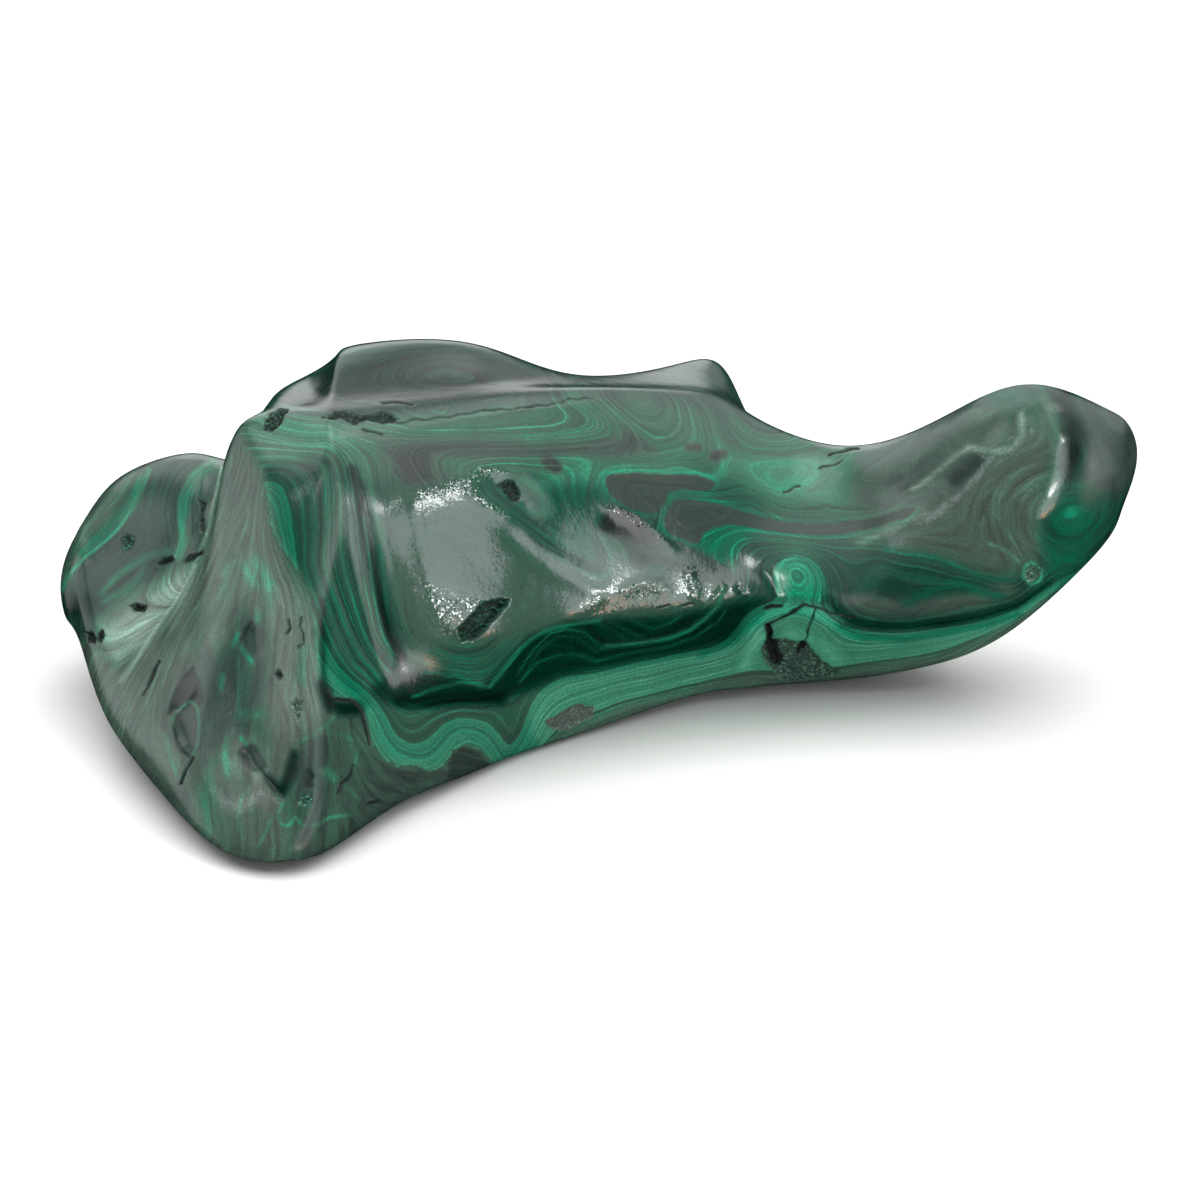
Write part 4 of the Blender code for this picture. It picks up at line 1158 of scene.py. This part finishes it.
    tone = add(tree, MIX, NUMBERS, {"Factor": band, "A": tone, "B": band_tone})
    tone = add(tree, MIX, NUMBERS, {"Factor": patch, "A": tone, "B": patch_tone})
    tone = add(tree, MATH, SCALED_SUM, {0: rim, 1: RIM_LIGHTENS, 2: tone})
    tone = add(tree, MIX, NUMBERS, {"Factor": read["broken"], "A": tone, "B": broken_tone})
    grey = add(tree, MIX, NUMBERS, {"Factor": band, "A": grey, "B": band_grey})
    grey = add(tree, MIX, NUMBERS, {"Factor": patch, "A": grey, "B": PATCH_GREY})
    grey = add(tree, MATH, SCALED_SUM, {0: rim, 1: -RIM_GREENS, 2: grey})
    grey = add(tree, MIX, NUMBERS, {"Factor": read["broken"], "A": grey, "B": read["broken_grey"]})
    speckle = add(tree, NOISE, {}, {"Vector": place, "Scale": 1 / (SPECKLE_SIZE * MM), "Detail": 2.0})
    speckle = add(tree, MATH, SUM, {0: speckle, 1: -0.5})
    speckle = add(tree, MATH, PRODUCT, {0: speckle, 1: tone})
    tone = add(tree, MATH, SCALED_SUM, {0: speckle, 1: SPECKLE_LIGHTENS, 2: tone})
    green = add(tree, RAMP, {}, {"Fac": tone})
    set_stops(green.node, GREEN_TONES)
    grey_stone = add(tree, RAMP, {}, {"Fac": tone})
    set_stops(grey_stone.node, GREY_TONES)
    colour = add(tree, MIX, COLOURS, {
        "Factor": grey, FIRST_COLOUR: green, SECOND_COLOUR: grey_stone}, MIXED_COLOUR)

    # The buff leaves a wet shine, dull in creases and rough where the stone is broken.
    polish = add(tree, MATH, SCALED_SUM, {0: shake, 1: POLISH_UNEVEN, 2: POLISH})
    polish = add(tree, MATH, SCALED_SUM, {0: read["broken"], 1: BROKEN_ROUGHNESS, 2: polish})
    polish = add(tree, MATH, SCALED_SUM, {0: read["grain"], 1: -GRAIN_SHINE, 2: polish})
    polish = add(tree, MATH, SUM, {0: read["dull"], 1: polish})
    fine = add(tree, NOISE, {}, {"Vector": place, "Scale": 1 / (FINE_GRAIN_SIZE * MM), "Detail": 2.0})
    fine_height = add(tree, MATH, SCALED_SUM, {0: read["grain"], 1: CRYSTAL_PART, 2: FINE_PART})
    fine_height = add(tree, MATH, PRODUCT, {0: fine_height, 1: fine})
    height = add(tree, MATH, SCALED_SUM, {0: strata, 1: STRATA_PART, 2: fine_height})
    height = add(tree, MATH, SCALED_SUM, {0: wander, 1: WANDER_PART, 2: height})
    bump = add(tree, "ShaderNodeBump", {}, {"Strength": 1.0, "Distance": BUMP_HEIGHT * MM, "Height": height})
    normal = tilted_normal(tree, place, bump, read["grain"])
    tree.links.new(colour, shader.inputs["Base Color"])
    tree.links.new(polish, shader.inputs["Roughness"])
    tree.links.new(normal, shader.inputs["Normal"])
    shader.inputs["IOR"].default_value = REFRACTION
    return material


def floor_material():
    """Matt white paper sweep, which shows as a soft even white."""
    material, shader = new_material("matt_white_paper")
    tree = material.node_tree
    place = add(tree, "ShaderNodeTexCoord", {}, {}, "Object")
    tooth = add(tree, NOISE, {}, {"Vector": place, "Scale": 1 / (PAPER_TOOTH * MM), "Detail": 2.0})
    bump = add(tree, "ShaderNodeBump", {}, {"Strength": 0.2, "Distance": PAPER_HEIGHT * MM, "Height": tooth})
    tree.links.new(bump, shader.inputs["Normal"])
    shader.inputs["Base Color"].default_value = linear("#f4f4f2")
    shader.inputs["Roughness"].default_value = 0.9
    return material


def pale_floor():
    """A wide pale floor under the stone, which the polish doesn't mirror."""
    bpy.ops.object.select_all(action="DESELECT")
    bpy.ops.mesh.primitive_plane_add(size=FLOOR_SIDE, location=(0, 0, 0))
    floor = bpy.context.object
    floor.name = "pale_floor"
    floor.data.materials.append(floor_material())
    floor.visible_glossy = False


# Broad glows: azimuth, height, the angles from their middle where they start and finish to fall off, and
# brightness.
GLOWS = {
    "overhead": (0, 90, 15, 80, 0.40),
    "left": (-112, 6, 6, 32, 0.80),
    "high left": (-110, 47, 3, 15, 0.8),
    "back left": (-158, 28, 5, 24, 0.9),
    "back": (150, 25, 8, 34, 0.55),
    "high back": (163, 52, 5, 18, 0.9),
    "over the back": (105, 72, 8, 36, 0.45),
    "low back": (-178, 12, 5, 16, 1.2),
    "right": (42, -4, 8, 30, 0.35),
}
# Lamps and softboxes: azimuth and height in degrees, distance, width and length in metres, brightness, colour,
# and whether the polish mirrors them.
LIGHTS = {
    "right_softbox": (45, 10, 0.8, 0.28, 0.88, 2.4, "#ffffff", True),
    "low_right_lamp": (40, 2.2, 1.4, 0.14, 0.14, 32.0, "#ffffff", True),
    "high_right_lamp": (53, 41, 1.4, 0.13, 0.12, 26.0, "#ffffff", True),
    "low_left_lamp": (-82, 41, 1.4, 0.14, 0.10, 3.0, "#ffffff", True),
    "left_lamp": (-62, 52, 1.4, 0.20, 0.20, 1.5, "#ffffff", True),
    "warm_lamp": (47, -18, 1.0, 0.14, 0.07, 6.0, "#ff9040", True),
    "front_fill": (-10, 12, 1.5, 1.2, 0.8, 1.3, "#ffffff", False),
    "top_softbox": (0, 90, 1.1, 1.9, 1.9, 1.9, "#ffffff", False),
}


def direction_of(azimuth, height):
    """The direction at an azimuth, which is 0 towards the camera and rises to the right, and a height."""
    turn = math.radians(azimuth)
    climb = math.radians(height)
    return Vector((math.sin(turn) * math.cos(climb), -math.cos(turn) * math.cos(climb), math.sin(climb)))


def soft_light(name, azimuth, height, distance, width, length, brightness, colour, mirrored):
    """A softbox that faces the stone. Its brightness is next to that of white paper in full light."""
    data = bpy.data.lights.new(name, "AREA")
    data.shape = "RECTANGLE"
    data.size = width
    data.size_y = length
    data.energy = brightness * math.pi * width * length
    data.color = linear(colour)[:3]
    light = bpy.data.objects.new(name, data)
    light.location = direction_of(azimuth, height) * distance
    light.rotation_mode = "QUATERNION"
    light.rotation_quaternion = (-light.location).to_track_quat("-Z", "Y")
    light.visible_glossy = mirrored
    bpy.context.scene.collection.objects.link(light)


def soft_room():
    """White light from above and next to none from below, with broad soft glows round the stone."""
    world = bpy.data.worlds.new("soft_white_room")
    world.use_nodes = True
    tree = world.node_tree
    ray = add(tree, "ShaderNodeTexCoord", {}, {}, "Generated")
    total = 0.0
    for azimuth, height, inner, outer, brightness in GLOWS.values():
        towards = add(tree, VECTOR_MATH, {"operation": "DOT_PRODUCT"}, {
            0: ray, 1: direction_of(azimuth, height)}, "Value")
        glow = add(tree, RANGE, SMOOTH, {
            "Value": towards, "From Min": math.cos(math.radians(outer)),
            "From Max": math.cos(math.radians(inner)), "To Max": brightness})
        total = add(tree, MATH, SUM, {0: total, 1: glow})
    tree.links.new(total, tree.nodes["Background"].inputs["Strength"])
    tree.nodes["Background"].inputs["Color"].default_value = linear("#ffffff")
    bpy.context.scene.world = world


def camera_view():
    """The camera, where the photograph's stood."""
    data = bpy.data.cameras.new("camera")
    data.sensor_width = SENSOR_SIDE
    data.lens = FOCAL_PIXELS * SENSOR_SIDE / FRAME_SIDE
    data.clip_start = NEAR_CLIP
    camera = bpy.data.objects.new("camera", data)
    camera.location = CAMERA_PLACE
    camera.rotation_mode = "QUATERNION"
    camera.rotation_quaternion = (-BACK).to_track_quat("-Z", "Y")
    bpy.context.scene.collection.objects.link(camera)
    bpy.context.scene.camera = camera
    bpy.context.scene.view_settings.view_transform = "Standard"


stone = polished_stone(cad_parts[CAD_NODE])
carve(stone)
mark_stone(stone)
stone.data.materials.clear()
stone.data.materials.append(malachite_material())
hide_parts(CAD_NODE)
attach(stone, "root")
pale_floor()
soft_room()
for light_name, light_settings in LIGHTS.items():
    soft_light(light_name, *light_settings)
camera_view()
